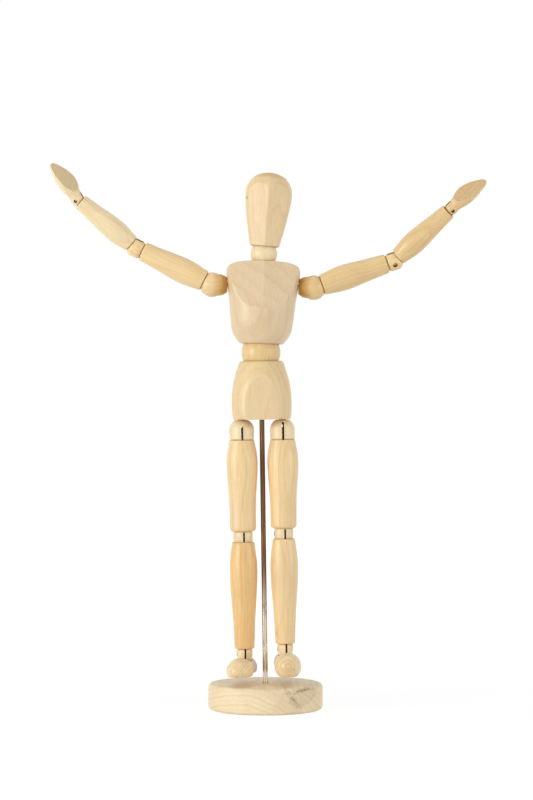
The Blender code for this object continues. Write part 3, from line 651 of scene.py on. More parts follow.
@dataclass(frozen=True)
class Coil:
    """A pull spring's wire, in millimetres.

    Attributes:
        radius: Radius of the coil at the middle of its wire.
        wire: Radius of the wire.
        pitch: Rise of one turn.
        bore: Radius of the bore that it sits in.
        depth: Length inside the trunk piece at its end.
        end_gap: Distance of its inner end from the middle of the ball.
    """

    radius: float = 2.5
    wire: float = 0.4
    pitch: float = 3.0
    bore: float = 3.2
    depth: float = 12.0
    end_gap: float = 1.0

    def wound(self, low: float, high: float) -> BMesh:
        """Wind the wire along Z between two heights.

        Args:
            low: Height of the lower end.
            high: Height of the upper end.

        Returns:
            The spring.
        """
        turns = (high - low - 2.0 * self.wire) / self.pitch
        steps = math.ceil(turns * STEEL_FACETS)
        bm = bmesh.new()
        upright = Matrix.Rotation(math.radians(90.0), 4, "X")
        place = Matrix.Translation((self.radius, 0, low + self.wire)) @ upright
        circle = bmesh.ops.create_circle(bm, segments=WIRE_FACETS, radius=self.wire, matrix=place)
        ring = circle["verts"]
        edges = list({edge for vert in ring for edge in vert.link_edges})
        bmesh.ops.spin(
            bm, geom=ring + edges, cent=(0, 0, 0), axis=UP, dvec=(0, 0, self.pitch * turns / steps),
            angle=math.tau * turns, steps=steps,
        )
        bmesh.ops.holes_fill(bm, edges=[edge for edge in bm.edges if edge.is_boundary], sides=0)
        bmesh.ops.recalc_face_normals(bm, faces=bm.faces)
        return bm


COIL = Coil()


class Graph:
    """Adds and joins the nodes of one shader tree."""

    def __init__(self, tree: ShaderNodeTree) -> None:
        """Work on a tree."""
        self.tree = tree

    def add(self, kind: str, **settings: object) -> Node:
        """Add a node of some kind with some settings.

        Args:
            kind: Blender's name of the kind.
            **settings: Values of its properties.

        Returns:
            The node.
        """
        node = self.tree.nodes.new(kind)
        for name, value in settings.items():
            setattr(node, name, value)
        return node

    def feed(self, socket: NodeSocket, value: Feed) -> None:
        """Link a socket, or set its value.

        Args:
            socket: An input.
            value: The output that it is linked to, or its value.
        """
        if isinstance(value, NodeSocket):
            self.tree.links.new(value, socket)
        else:
            socket.default_value = value

    def fill(self, node: Node, values: dict[str, Feed]) -> Node:
        """Feed a node's inputs by name.

        Args:
            node: The node.
            values: What each input gets.

        Returns:
            The node itself.
        """
        for name, value in values.items():
            self.feed(node.inputs[name], value)
        return node

    def math(self, operation: str, *values: Feed) -> NodeSocket:
        """A number worked out from others.

        Args:
            operation: Blender's name of the operation.
            *values: What it works on.

        Returns:
            The number.
        """
        node = self.add("ShaderNodeMath", operation=operation)
        for socket, value in zip(node.inputs, values):
            self.feed(socket, value)
        return node.outputs[0]

    def vector(self, operation: str, *values: Feed) -> NodeSocket:
        """A vector, or its length or product, worked out from others.

        Args:
            operation: Blender's name of the operation.
            *values: What it works on.

        Returns:
            The result.
        """
        node = self.add("ShaderNodeVectorMath", operation=operation)
        for socket, value in zip(node.inputs, values):
            self.feed(socket, value)
        return node.outputs["Value" if operation in {"LENGTH", "DOT_PRODUCT"} else "Vector"]

    def ramp(
        self, value: Feed, low: float, high: float, start: float = 0.0, end: float = 1.0,
    ) -> NodeSocket:
        """A smooth step from start to end as a value goes from low to high.

        Args:
            value: The value.
            low: Where the step starts.
            high: Where the step ends.
            start: The result up to low.
            end: The result from high on.

        Returns:
            The result.
        """
        node = self.add("ShaderNodeMapRange", interpolation_type="SMOOTHSTEP")
        self.fill(node, {
            "Value": value, "From Min": low, "From Max": high, "To Min": start, "To Max": end,
        })
        return node.outputs["Result"]

    def mix(self, share: Feed, first: Feed, second: Feed, mode: str = "MIX") -> NodeSocket:
        """Two colours mixed by a share.

        Args:
            share: Share of the second colour.
            first: The first colour.
            second: The second colour.
            mode: Blender's name of the way of mixing.

        Returns:
            The mixed colour.
        """
        node = self.add("ShaderNodeMix", data_type="RGBA", blend_type=mode)
        colours = [socket for socket in node.inputs if socket.type == "RGBA"]
        self.feed(node.inputs["Factor"], share)
        self.feed(colours[0], first)
        self.feed(colours[1], second)
        return next(socket for socket in node.outputs if socket.type == "RGBA")

    def noise(self, place: Feed, detail: float, roughness: float = 0.5) -> Node:
        """Noise with features about as large as the unit of its place."""
        values = {"Vector": place, "Scale": 1.0, "Detail": detail, "Roughness": roughness}
        return self.fill(self.add("ShaderNodeTexNoise"), values)

    def grain(
        self, place: Feed, across: float, along: float, detail: float, roughness: float = 0.5,
    ) -> NodeSocket:
        """Noise that is drawn out along Z.

        Args:
            place: The place in a turning frame.
            across: Features in a millimetre across the piece.
            along: Features in a millimetre along the piece.
            detail: Number of finer layers.
            roughness: Strength of each layer beside the one before it.

        Returns:
            A value from 0 to 1.
        """
        drawn_out = self.vector("MULTIPLY", place, (across, across, along))
        return self.noise(drawn_out, detail, roughness).outputs["Fac"]

    def shifted(self, place: Feed, seed: Feed) -> NodeSocket:
        """A place moved by a seed along all three axes.

        Args:
            place: The place.
            seed: How far it is moved along each axis.

        Returns:
            The moved place.
        """
        shift = self.add("ShaderNodeCombineXYZ")
        self.fill(shift, {axis: seed for axis in "XYZ"})
        return self.vector("ADD", place, shift.outputs[0])

    def effect(self, name: str, values: dict[str, Feed]) -> Node:
        """Place one of the shared effects with its own values."""
        group = self.add("ShaderNodeGroup", node_tree=bpy.data.node_groups[name])
        return self.fill(group, values)


class Effect:
    """A shader node group under construction.

    Attributes:
        graph: The group's nodes.
        inputs: Its named inputs, seen from inside.
        ends: Its named outputs, seen from inside.
    """

    KINDS = {"value": "NodeSocketFloat", "vector": "NodeSocketVector", "colour": "NodeSocketColor"}

    def __init__(self, name: str, inputs: dict[str, str], outputs: dict[str, str]) -> None:
        """Start a group.

        Args:
            name: The effect's name.
            inputs: Kind of each input by name.
            outputs: Kind of each output by name.
        """
        tree = bpy.data.node_groups.new(name, "ShaderNodeTree")
        for side, sockets in (("INPUT", inputs), ("OUTPUT", outputs)):
            for socket, kind in sockets.items():
                tree.interface.new_socket(socket, in_out=side, socket_type=self.KINDS[kind])
        self.graph = Graph(tree)
        self.inputs = self.graph.add("NodeGroupInput").outputs
        self.ends = self.graph.add("NodeGroupOutput").inputs

    def put(self, name: str, value: NodeSocket) -> None:
        """Join a value to one of the group's outputs."""
        self.graph.feed(self.ends[name], value)


def make_growth_rings() -> None:
    """Growth rings round a pith that runs along the grain: dark late wood at the end of each ring."""
    effect = Effect(
        "growth_rings",
        {"Place": "vector", "Pith": "vector", "Pitch": "value", "Seed": "value"},
        {"Rings": "value"},
    )
    graph, given = effect.graph, effect.inputs
    place = graph.shifted(given["Place"], given["Seed"])
    spread = graph.vector("MULTIPLY", place, (0.06, 0.06, 0.02))
    wander = graph.vector("SUBTRACT", graph.noise(spread, 2.0).outputs["Color"], (0.5, 0.5, 0.5))
    bent = graph.vector("ADD", given["Place"], graph.vector("MULTIPLY", wander, (7.0, 7.0, 0.0)))
    across = graph.vector("MULTIPLY", graph.vector("SUBTRACT", bent, given["Pith"]), (1.0, 1.0, 0.0))
    phase = graph.math("DIVIDE", graph.vector("LENGTH", across), given["Pitch"])
    year = graph.add("ShaderNodeTexWhiteNoise", noise_dimensions="1D")
    graph.feed(year.inputs["W"], graph.math("ADD", graph.math("FLOOR", phase), given["Seed"]))
    age = graph.math("FRACT", phase)
    late = graph.math("MULTIPLY", graph.math("POWER", age, 2.4), graph.ramp(age, 0.86, 1.0, 1.0, 0.0))
    strength = graph.math("MULTIPLY_ADD", year.outputs["Value"], 0.8, 0.5)
    effect.put("Rings", graph.math("MULTIPLY", late, strength))


def make_wood_fibre() -> None:
    """Fibres, short dark flecks and cloudy patches that run along the grain."""
    effect = Effect(
        "wood_fibre",
        {"Place": "vector", "Seed": "value"},
        {"Fibre": "value", "Flecks": "value", "Cloud": "value"},
    )
    graph, given = effect.graph, effect.inputs
    place = graph.shifted(given["Place"], graph.math("MULTIPLY", given["Seed"], 3.7))
    coarse = graph.grain(place, across=1.1, along=0.03, detail=4.0, roughness=0.6)
    fine = graph.grain(place, across=5.5, along=0.14, detail=3.0, roughness=0.6)
    effect.put("Fibre", graph.math("MULTIPLY_ADD", coarse, 0.6, graph.math("MULTIPLY", fine, 0.4)))
    cells = graph.add("ShaderNodeTexVoronoi")
    drawn_out = graph.vector("MULTIPLY", place, (1.5, 1.5, 0.3))
    graph.fill(cells, {"Vector": drawn_out, "Scale": 1.0})
    chosen = graph.ramp(graph.vector("DOT_PRODUCT", cells.outputs["Color"], (1.0, 0.0, 0.0)), 0.62, 0.7)
    spot = graph.ramp(cells.outputs["Distance"], 0.08, 0.2, 1.0, 0.0)
    effect.put("Flecks", graph.math("MULTIPLY", spot, chosen))
    effect.put("Cloud", graph.grain(place, across=0.07, along=0.04, detail=3.0))


def make_knot() -> None:
    """A knot or bark mark: a dark heart in a stained halo of ragged outline."""
    effect = Effect(
        "knot",
        {"Place": "vector", "Centre": "vector", "Reach": "vector", "Turn": "value", "Ragged": "value"},
        {"Heart": "value", "Halo": "value"},
    )
    graph, given = effect.graph, effect.inputs
    torn = graph.noise(given["Place"], 3.0, 0.6).outputs["Color"]
    jag = graph.add("ShaderNodeCombineXYZ")
    for axis in "XY":
        graph.feed(jag.inputs[axis], graph.math("MULTIPLY", given["Ragged"], 2.4))
    shift = graph.vector("MULTIPLY", graph.vector("SUBTRACT", torn, (0.5, 0.5, 0.5)), jag.outputs[0])
    turned = graph.add("ShaderNodeVectorRotate", rotation_type="Z_AXIS")
    placed = graph.vector("ADD", given["Place"], shift)
    centred = graph.vector("SUBTRACT", placed, given["Centre"])
    graph.fill(turned, {"Vector": centred, "Angle": given["Turn"]})
    away = graph.vector("DIVIDE", turned.outputs["Vector"], given["Reach"])
    shreds = graph.grain(given["Place"], across=0.5, along=0.5, detail=4.0, roughness=0.65)
    tear = graph.math("SUBTRACT", shreds, 0.5)
    reach = graph.math("MULTIPLY_ADD", tear, given["Ragged"], graph.vector("LENGTH", away))
    effect.put("Heart", graph.ramp(reach, 0.25, 0.5, 1.0, 0.0))
    rim = graph.math("MULTIPLY", graph.ramp(reach, 0.7, 0.9), graph.ramp(reach, 0.92, 1.1, 1.0, 0.0))
    inside = graph.ramp(reach, 0.8, 1.05, 0.45, 0.0)
    effect.put("Halo", graph.math("MAXIMUM", rim, inside))


def make_turned_wood() -> None:
    """The colour, gloss and relief of a varnished turned piece, with painted shade in its hollows and
    painted highlights on its flats' edges.
    """
    effect = Effect(
        "turned_wood",
        {
            "Place": "vector", "Pith": "vector", "Pitch": "value", "Seed": "value",
            "Pale": "colour", "Deep": "colour", "Bare": "colour",
            "Ring Strength": "value", "Fibre Strength": "value", "End Grain": "value",
            "Sanded": "value", "Edge": "value", "Grime": "value", "Gloss": "value",
        },
        {"Colour": "colour", "Roughness": "value", "Height": "value"},
    )
    graph, given = effect.graph, effect.inputs
    shared = {name: given[name] for name in ("Place", "Seed")}
    years = {name: given[name] for name in ("Pith", "Pitch")}
    rings = graph.effect("growth_rings", {**shared, **years}).outputs["Rings"]
    fibre = graph.effect("wood_fibre", shared).outputs
    end_rings = graph.math("MULTIPLY_ADD", given["End Grain"], 0.6, 1.0)
    ring_share = graph.math("MULTIPLY", rings, given["Ring Strength"])
    ring_share = graph.math("MULTIPLY", ring_share, end_rings)
    cloud = graph.ramp(fibre["Cloud"], 0.35, 0.68, 0.0, 0.4)
    colour = graph.mix(cloud, given["Pale"], given["Deep"])
    colour = graph.mix(graph.math("MULTIPLY", given["Sanded"], 0.85), colour, given["Bare"])
    colour = graph.mix(ring_share, colour, given["Deep"], "MULTIPLY")
    streak = graph.math("MULTIPLY", graph.ramp(fibre["Fibre"], 0.36, 0.66), given["Fibre Strength"])
    colour = graph.mix(streak, colour, given["Deep"], "MULTIPLY")
    colour = graph.mix(graph.math("MULTIPLY", fibre["Flecks"], 0.22), colour, FLECK)
    colour = graph.mix(given["End Grain"], colour, given["Deep"], "MULTIPLY")
    # Painted highlight along the edges of sanded flats
    colour = graph.mix(graph.math("MULTIPLY", given["Edge"], 0.1), colour, EDGE_HIGHLIGHT, "SCREEN")
    # Painted shade in hollows and at rims: amber toning with some gathered varnish, then dark shade
    # deeper in
    amber_shade = graph.ramp(given["Grime"], 0.0, 0.45)
    colour = graph.mix(amber_shade, colour, AMBER_SHADE_AND_VARNISH, "MULTIPLY")
    colour = graph.mix(graph.ramp(given["Grime"], 0.4, 1.0, 0.0, 0.82), colour, RECESS_SHADE)
    effect.put("Colour", colour)
    matte = graph.math("MULTIPLY_ADD", given["Sanded"], 0.1, given["Gloss"])
    matte = graph.math("MULTIPLY_ADD", given["End Grain"], 0.08, matte)
    matte = graph.math("SUBTRACT", matte, 0.07)
    effect.put("Roughness", graph.math("MULTIPLY_ADD", fibre["Fibre"], 0.14, matte))
    raised = graph.math("MULTIPLY_ADD", rings, 0.4, fibre["Fibre"])
    effect.put("Height", graph.math("SUBTRACT", raised, fibre["Flecks"]))


def make_drawn_steel() -> None:
    """Drawn steel: fine streaks along the wire, faint brown tarnished patches and, where given, a
    painted brown reflection.
    """
    effect = Effect(
        "drawn_steel",
        {"Place": "vector", "Bright": "colour", "Dull": "colour", "Age": "value"},
        {"Colour": "colour", "Roughness": "value", "Height": "value"},
    )
    graph, given = effect.graph, effect.inputs
    streak = graph.grain(given["Place"], across=6.0, along=0.12, detail=3.0, roughness=0.6)
    stain = graph.grain(given["Place"], across=0.3, along=0.06, detail=4.0, roughness=0.65)
    # Tarnished patches, with any painted reflection laid over them
    tarnish = graph.math("MAXIMUM", graph.ramp(stain, 0.45, 0.72), given["Age"])
    effect.put("Colour", graph.mix(tarnish, given["Bright"], given["Dull"]))
    polish = graph.math("MULTIPLY_ADD", streak, 0.16, 0.12)
    effect.put("Roughness", graph.math("MULTIPLY_ADD", tarnish, 0.16, polish))
    effect.put("Height", streak)


@dataclass(frozen=True)
class WoodFinish:
    """One of the tones of the varnished wood; colours are linear.

    Attributes:
        pale: Colour of the early wood.
        deep: Colour that late wood, streaks and end grain are multiplied with.
        bare: Colour of a sanded flat.
        rings: Strength of the growth rings.
        fibre: Strength of the fibre streaks.
        gloss: Roughness of the varnish.
        coat: Weight of the varnish's clear coat.
        end: How much darker its end grain is, from 0 to 1; on the ivory head's top part of it is
            painted shade.
    """

    pale: Colour
    deep: Colour
    bare: Colour
    rings: float = 0.35
    fibre: float = 0.3
    gloss: float = 0.42
    coat: float = 0.3
    end: float = 0.42


class Tone(Enum):
    """The tones in which the pieces differ, as the lengths of wood did."""

    # The ivory end grain is strong: on the head's top it is also painted shade
    IVORY = WoodFinish((0.86, 0.68, 0.365, 1), (0.82, 0.61, 0.38, 1), (0.86, 0.67, 0.40, 1), end=0.75)
    CREAM = WoodFinish((0.94, 0.72, 0.385, 1), (0.82, 0.60, 0.36, 1), (0.88, 0.68, 0.42, 1))
    STRAW = WoodFinish((0.95, 0.80, 0.50, 1), (0.84, 0.65, 0.42, 1), (0.70, 0.55, 0.33, 1))
    BLUSH = WoodFinish((0.79, 0.635, 0.40, 1), (0.84, 0.66, 0.46, 1), (0.80, 0.635, 0.415, 1))
    HONEY = WoodFinish((0.85, 0.64, 0.315, 1), (0.80, 0.56, 0.30, 1), (0.67, 0.48, 0.25, 1))
    AMBER = WoodFinish((0.905, 0.62, 0.262, 1), (0.78, 0.52, 0.26, 1), (0.84, 0.6, 0.33, 1))
    TOE = WoodFinish(
        (0.96, 0.80, 0.48, 1), (0.78, 0.57, 0.33, 1), (0.86, 0.64, 0.38, 1), rings=0.6, end=0.2,
    )
    STAND = WoodFinish(
        (0.95, 0.82, 0.55, 1), (0.78, 0.60, 0.40, 1), (0.88, 0.7, 0.46, 1),
        rings=0.45, gloss=0.5, coat=0.1, end=0.0,
    )


@dataclass(frozen=True)
class Knot:
    """A knot or mark on one piece, in millimetres of its turning frame.

    Attributes:
        centre: Its middle.
        reach: Its half sizes.
        ragged: How torn its outline is.
        depth: How dark it is, from 0 to 1.
        turned: How far it is turned round the grain, in degrees.
        heart: How dark its heart is beside its halo, from 0 to 1.
    """

    centre: tuple[float, float, float]
    reach: tuple[float, float, float]
    ragged: float = 0.8
    depth: float = 0.8
    turned: float = 0.0
    heart: float = 1.0


@dataclass(frozen=True)
class Blank:
    """The length of wood that a piece is turned from.

    Attributes:
        tone: Its finish.
        slot: The record's slot for it; not used.
        seed: Where in the tree it comes from: it moves every pattern.
        pith: The tree's middle beside the piece's axis, or None to take it from the seed.
        pitch: Width of a growth ring.
        knots: Marks on it.
    """

    tone: Tone
    slot: Slot
    seed: int
    pith: Point | None = None
    pitch: float = 2.2
    knots: tuple[Knot, ...] = ()

    @property
    def pith_place(self) -> tuple[float, float, float]:
        """The tree's middle in the grain's frame."""
        if self.pith is not None:
            return (*self.pith, 0.0)
        angle = self.seed * PITH_TURN
        distance = PITH_LEAST + self.seed * PITH_STEP % PITH_SPREAD
        return (distance * math.cos(angle), distance * math.sin(angle), 0.0)


def mapped_place(graph: Graph, grain: Matrix) -> NodeSocket:
    """A point's place in a turning frame, in millimetres, from its Object coordinates.

    Args:
        graph: The material's nodes.
        grain: The frame, in metres.

    Returns:
        The place.
    """
    mapping = graph.add("ShaderNodeMapping", vector_type="TEXTURE")
    graph.feed(mapping.inputs["Vector"], graph.add("ShaderNodeTexCoord").outputs["Object"])
    mapping.inputs["Location"].default_value = grain.to_translation()
    mapping.inputs["Rotation"].default_value = grain.to_euler("XYZ")
    mapping.inputs["Scale"].default_value = (MM, MM, MM)
    return mapping.outputs["Vector"]


def new_material(name: str) -> tuple[Material, Graph, Node]:
    """A new material, its graph and its shader.

    Args:
        name: The material's name.

    Returns:
        The three of them.
    """
    material = bpy.data.materials.new(name)
    material.use_nodes = True
    return material, Graph(material.node_tree), material.node_tree.nodes["Principled BSDF"]


def add_relief(graph: Graph, shader: Node, height: NodeSocket, depth: float) -> None:
    """Give a shader a relief, its depth in millimetres.

    Args:
        graph: The material's nodes.
        shader: The shader.
        height: The relief, in shares of its depth.
        depth: Its depth.
    """
    bump = graph.add("ShaderNodeBump")
    bump.inputs["Strength"].default_value = RELIEF_STRENGTH
    bump.inputs["Distance"].default_value = depth * MM
    graph.feed(bump.inputs["Height"], height)
    graph.feed(shader.inputs["Normal"], bump.outputs["Normal"])


def wood_material(name: str, blank: Blank, grain: Matrix) -> Material:
    """The varnished wood of one piece.

    Args:
        name: The material's name.
        blank: The length of wood.
        grain: Frame in metres whose Z runs along the grain.

    Returns:
        The material.
    """
    material, graph, shader = new_material(name)
    finish: WoodFinish = blank.tone.value
    place = mapped_place(graph, grain)
    normal = graph.add("ShaderNodeTexCoord").outputs["Normal"]
    along = graph.vector("DOT_PRODUCT", normal, tuple(grain.to_3x3() @ UP))
    traces = {}
    # The edge trace brings a painted highlight, the shading trace painted shade
    for trace in ("Sanded", "Edge", "Grime"):
        traces[trace] = graph.add("ShaderNodeAttribute", attribute_name=trace.lower()).outputs["Fac"]
    wood = graph.effect("turned_wood", {
        "Place": place, "Pith": blank.pith_place, "Pitch": blank.pitch, "Seed": float(blank.seed),
        "Pale": finish.pale, "Deep": finish.deep, "Bare": finish.bare,
        "Ring Strength": finish.rings, "Fibre Strength": finish.fibre, "Gloss": finish.gloss,
        "End Grain": graph.ramp(graph.math("ABSOLUTE", along), *END_GRAIN_FACES, 0.0, finish.end),
        **traces,
    }).outputs
    colour = wood["Colour"]
    for knot in blank.knots:
        mark = graph.effect("knot", {
            "Place": place, "Centre": knot.centre, "Reach": knot.reach, "Ragged": knot.ragged,
            "Turn": math.radians(knot.turned),
        }).outputs
        halo = graph.math("MULTIPLY", mark["Halo"], HALO_SHARE * knot.depth)
        colour = graph.mix(halo, colour, KNOT_HALO)
        heart = graph.math("MULTIPLY", mark["Heart"], knot.depth * knot.heart)
        colour = graph.mix(heart, colour, KNOT_HEART)
    graph.feed(shader.inputs["Base Color"], colour)
    graph.feed(shader.inputs["Roughness"], wood["Roughness"])
    add_relief(graph, shader, wood["Height"], WOOD_RELIEF)
    shader.inputs["Specular IOR Level"].default_value = VARNISH_SPECULAR
    shader.inputs["Coat Weight"].default_value = finish.coat
    shader.inputs["Coat Roughness"].default_value = VARNISH_ROUGHNESS
    return material


def bare_cut_material() -> Material:
    """Painted shade inside saw slots and drilled holes: near-black wood with a rough relief.

    Returns:
        The material.
    """
    material, graph, shader = new_material("bare_cut")
    place = mapped_place(graph, Matrix.Identity(4))
    rasp = graph.grain(place, across=2.0, along=2.0, detail=4.0, roughness=0.7)
    graph.feed(shader.inputs["Base Color"], graph.mix(rasp, SLOT_SHADE_DARK, SLOT_SHADE_PALE))
    graph.feed(shader.inputs["Roughness"], graph.ramp(rasp, 0.2, 0.8, 0.7, 0.9))
    add_relief(graph, shader, rasp, SAWN_RELIEF)
    return material


@dataclass(frozen=True)
class SteelFinish:
    """Drawn steel in two shades; colours are linear.

    Attributes:
        bright: Its clean shade.
        dull: Its tarnished shade, also the colour of its painted reflection where it has one.
        aged: Heights between which a painted brown reflection rises over it, in millimetres, if it has
            one.
        tarnish: Share of that colour at those heights.
    """

    bright: Colour
    dull: Colour
    aged: Point | None = None
    tarnish: Point = (0.1, 0.95)


class Metal(Enum):
    """The finishes of the steel pieces."""

    BRIGHT = SteelFinish((0.62, 0.58, 0.52, 1), (0.36, 0.27, 0.18, 1))
    # Near-black steel of the links in the slots and of the hip stems
    BLACKENED = SteelFinish((0.09, 0.075, 0.06, 1), (0.04, 0.028, 0.018, 1))
    GILDED = SteelFinish((0.56, 0.34, 0.12, 1), (0.16, 0.08, 0.025, 1))
    # Painted reflection of the wooden legs: the rod browns with height
    ROD = SteelFinish((0.68, 0.61, 0.48, 1), (0.12, 0.05, 0.014, 1), (35.0, 88.0))


def steel_material(metal: Metal) -> Material:
    """Drawn steel in one of the finishes.

    Args:
        metal: The finish.

    Returns:
        The material.
    """
    finish: SteelFinish = metal.value
    material, graph, shader = new_material(f"{metal.name.lower()}_steel")
    shader.inputs["Metallic"].default_value = 1.0
    place = mapped_place(graph, Matrix.Identity(4))
    # Painted reflection, rising with height where the finish gives one
    age: Feed = 0.0
    if finish.aged:
        height = graph.vector("DOT_PRODUCT", place, tuple(UP))
        age = graph.ramp(height, *finish.aged, *finish.tarnish)
    steel = graph.effect(
        "drawn_steel", {"Place": place, "Bright": finish.bright, "Dull": finish.dull, "Age": age},
    ).outputs
    graph.feed(shader.inputs["Base Color"], steel["Colour"])
    graph.feed(shader.inputs["Roughness"], steel["Roughness"])
    add_relief(graph, shader, steel["Height"], STEEL_RELIEF)
    return material


class Workshop:
    """Finishes shapes: cuts them, gives them their material and hangs them on their body."""

    def __init__(self) -> None:
        """Make the shared effects and the materials that many pieces share."""
        for make in (make_growth_rings, make_wood_fibre, make_knot, make_turned_wood, make_drawn_steel):
            make()
        # Painted shade for the faces that slots and holes leave
        self.cut_face = bare_cut_material()
        self.steels = {metal: steel_material(metal) for metal in Metal}

    def cut(self, mesh: Mesh, tools: Sequence[BMesh]) -> Mesh:
        """Cut tools out of a piece; the faces that they leave get the slots' painted shade.

        Args:
            mesh: The piece; it is used up.
            tools: The shapes to take out; they are used up.

        Returns:
            The cut mesh.
        """
        collection = bpy.context.scene.collection.objects
        body = bpy.data.objects.new("body", mesh)
        collection.link(body)
        for shape in tools:
            tool = bpy.data.objects.new("tool", mesh_from(shape, "tool"))
            tool.data.materials.append(self.cut_face)
            collection.link(tool)
            boolean = body.modifiers.new("cut", "BOOLEAN")
            boolean.operation = "DIFFERENCE"
            boolean.solver = "EXACT"
            boolean.material_mode = "TRANSFER"
            boolean.object = tool
            view = bpy.context.evaluated_depsgraph_get()
            result = bpy.data.meshes.new_from_object(
                body.evaluated_get(view), preserve_all_data_layers=True, depsgraph=view,
            )
            body.modifiers.clear()
            used = body.data
            body.data = result
            bpy.data.meshes.remove(used)
            bpy.data.meshes.remove(tool.data)
        result = body.data
        bpy.data.objects.remove(body)
        return result

    def wood(
        self, node: str, bm: BMesh, place: Matrix, blank: Blank,
        tools: Sequence[BMesh] = (), grain: Matrix | None = None,
    ) -> None:
        """Finish a wooden piece.

        Args:
            node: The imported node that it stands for.
            bm: Its shape in millimetres; it is used up.
            place: Its turning frame in metres.
            blank: The length of wood that it is turned from.
            tools: Shapes to cut out of it.
            grain: Frame whose Z runs along the grain, if not the turning frame.
        """
        mesh = mesh_from(bm, node)
        mesh.materials.append(wood_material(f"{node}_wood", blank, grain or place))
        if tools:
            mesh = self.cut(mesh, tools)
        self.hang(f"{node}_wood", node, mesh, place)

    def steel_piece(self, node: str, bm: BMesh, place: Matrix, metal: Metal = Metal.BRIGHT) -> None:
        """Finish a steel piece.

        Args:
            node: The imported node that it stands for.
            bm: Its shape in millimetres; it is used up.
            place: Its frame in metres.
            metal: Its finish.
        """
        mesh = mesh_from(bm, node)
        mesh.materials.append(self.steels[metal])
        self.hang(f"{node}_steel", node, mesh, place)

    def hang(self, name: str, node: str, mesh: Mesh, place: Matrix) -> None:
        """Put a mesh in its place and hang it on the body of the node that it stands for.

        Args:
            name: The piece's name.
            node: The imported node.
            mesh: The mesh in millimetres.
            place: Its frame in metres.
        """
        mesh.transform(place @ Matrix.Scale(MM, 4))
        mesh.shade_smooth()
        mesh.set_sharp_from_angle(angle=SHARP_ANGLE)
        piece = bpy.data.objects.new(name, mesh)
        bpy.context.scene.collection.objects.link(piece)
        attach(piece, BODY_OF[node])
        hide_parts(node)
        LOG.info("%s: %d faces on body %s", name, len(mesh.polygons), BODY_OF[node])


@dataclass
class Stand:
    """The round base and the rod that carries the figure; sizes in millimetres.

    Attributes:
        shop: Where its pieces are finished.
        radius: Radius of the base.
        edge: Rounding of the base's two edges.
        rod: Radius of the rod.
        rod_seat: Depth of the rod's hole in the base.
        rod_depth: Length of the rod inside the pelvis.
    """

    shop: Workshop
    radius: float = 32.0
    edge: float = 2.2
    rod: float = 1.4
    rod_seat: float = 10.0
    rod_depth: float = 12.0

    def build(self) -> None:
        """Make the base and the rod."""
        hole = self.rod + FITS.gap
        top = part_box("base")[1].z / MM
        floor = top - self.rod_seat
        inner = self.radius - self.edge
        # The rod's bore takes painted shade
        outline = Outline(Grime.BORE).to(0, floor).to(hole, floor).to(hole, top - FITS.gap)
        outline.soiled(Grime.CLEAN).to(hole + FITS.gap, top).to(inner, top)
        outline.arc(top - self.edge, self.edge, 0, 90, inner)
        outline.arc(self.edge, self.edge, 90, 180, inner).to(0, 0)
        grain = Matrix.Rotation(math.radians(-90.0), 4, "X")
        marks = (
            Knot((20.7, -13.1, -24.4), (10.5, 1.3, 30.0), 1.0, 0.6, 7.0),
            Knot((15.4, -8.3, -28.0), (7.6, 1.2, 30.0), 1.2, 0.55, -52.0),
            Knot((20.5, -9.4, -24.4), (7.6, 4.6, 30.0), 0.9, 0.5, 20.0, 0.0),
        )
        blank = Blank(Tone.STAND, Slot.PALE, 5, (-14.0, 26.0), 2.5, marks)
        self.shop.wood("base", turn(outline, TRUNK_FACETS), Matrix.Identity(4), blank, grain=grain)
        foot = Vector((0.0, 0.0, top * MM))
        rise = (joint_spot("figure_turn") - foot).length / MM
        low = FITS.gap - self.rod_seat
        rod = bar(self.rod, low, rise + self.rod_depth, chamfer=FITS.rod_chamfer)
        place = seat(foot, FIGURE_LEFT, joint_axis("figure_turn", UP))
        self.shop.steel_piece("stand_rod", rod, place, Metal.ROD)


@dataclass(frozen=True)
class Flat:
    """A flat sanded on a trunk piece.

    Attributes:
        point: A point on it, in millimetres above the piece's lower end.
        turned: Its direction round Z from the front, towards the figure's left, in degrees.
        lean: How far it faces up, in degrees.
        softness: Rounding of its edges, in millimetres.
    """

    point: tuple[float, float, float]
    turned: float
    lean: float
    softness: float = 0.35


@dataclass(frozen=True)
class TrunkPiece:
    """A turned barrel of the trunk, with flats on its front; sizes in millimetres.

    Attributes:
        stations: Radius and height of its side, from its upper end to its lower.
        depth: Its depth as a share of its width.
        flats: The flats, in the order in which they are sanded.
    """

    stations: tuple[Point, ...]
    depth: float
    flats: tuple[Flat, ...]

    @property
    def height(self) -> float:
        """Height of the piece."""
        return self.stations[0][1]

    def turned(self, lower: Outline, upper: Outline | None = None) -> BMesh:
        """Turn the piece, squeeze its side a little front to back and sand its flats.

        Args:
            lower: The hollow in its lower end, from the rim to the axis.
            upper: The hollow in its upper end, if it has one.

        Returns:
            The piece, standing on the origin.
        """
        outline = Outline()
        if upper:
            outline.points += reversed(upper.points)
        outline.to(*self.stations[0]).through(*self.stations[1:])
        outline.points += lower.points
        bm = turn(outline, TRUNK_FACETS)
        bmesh.ops.scale(bm, vec=(1.0, self.depth, 1.0), verts=outer_verts(bm))
        for flat in self.flats:
            sand(bm, flat.point, facing(flat.turned, flat.lean), flat.softness)
        return bm


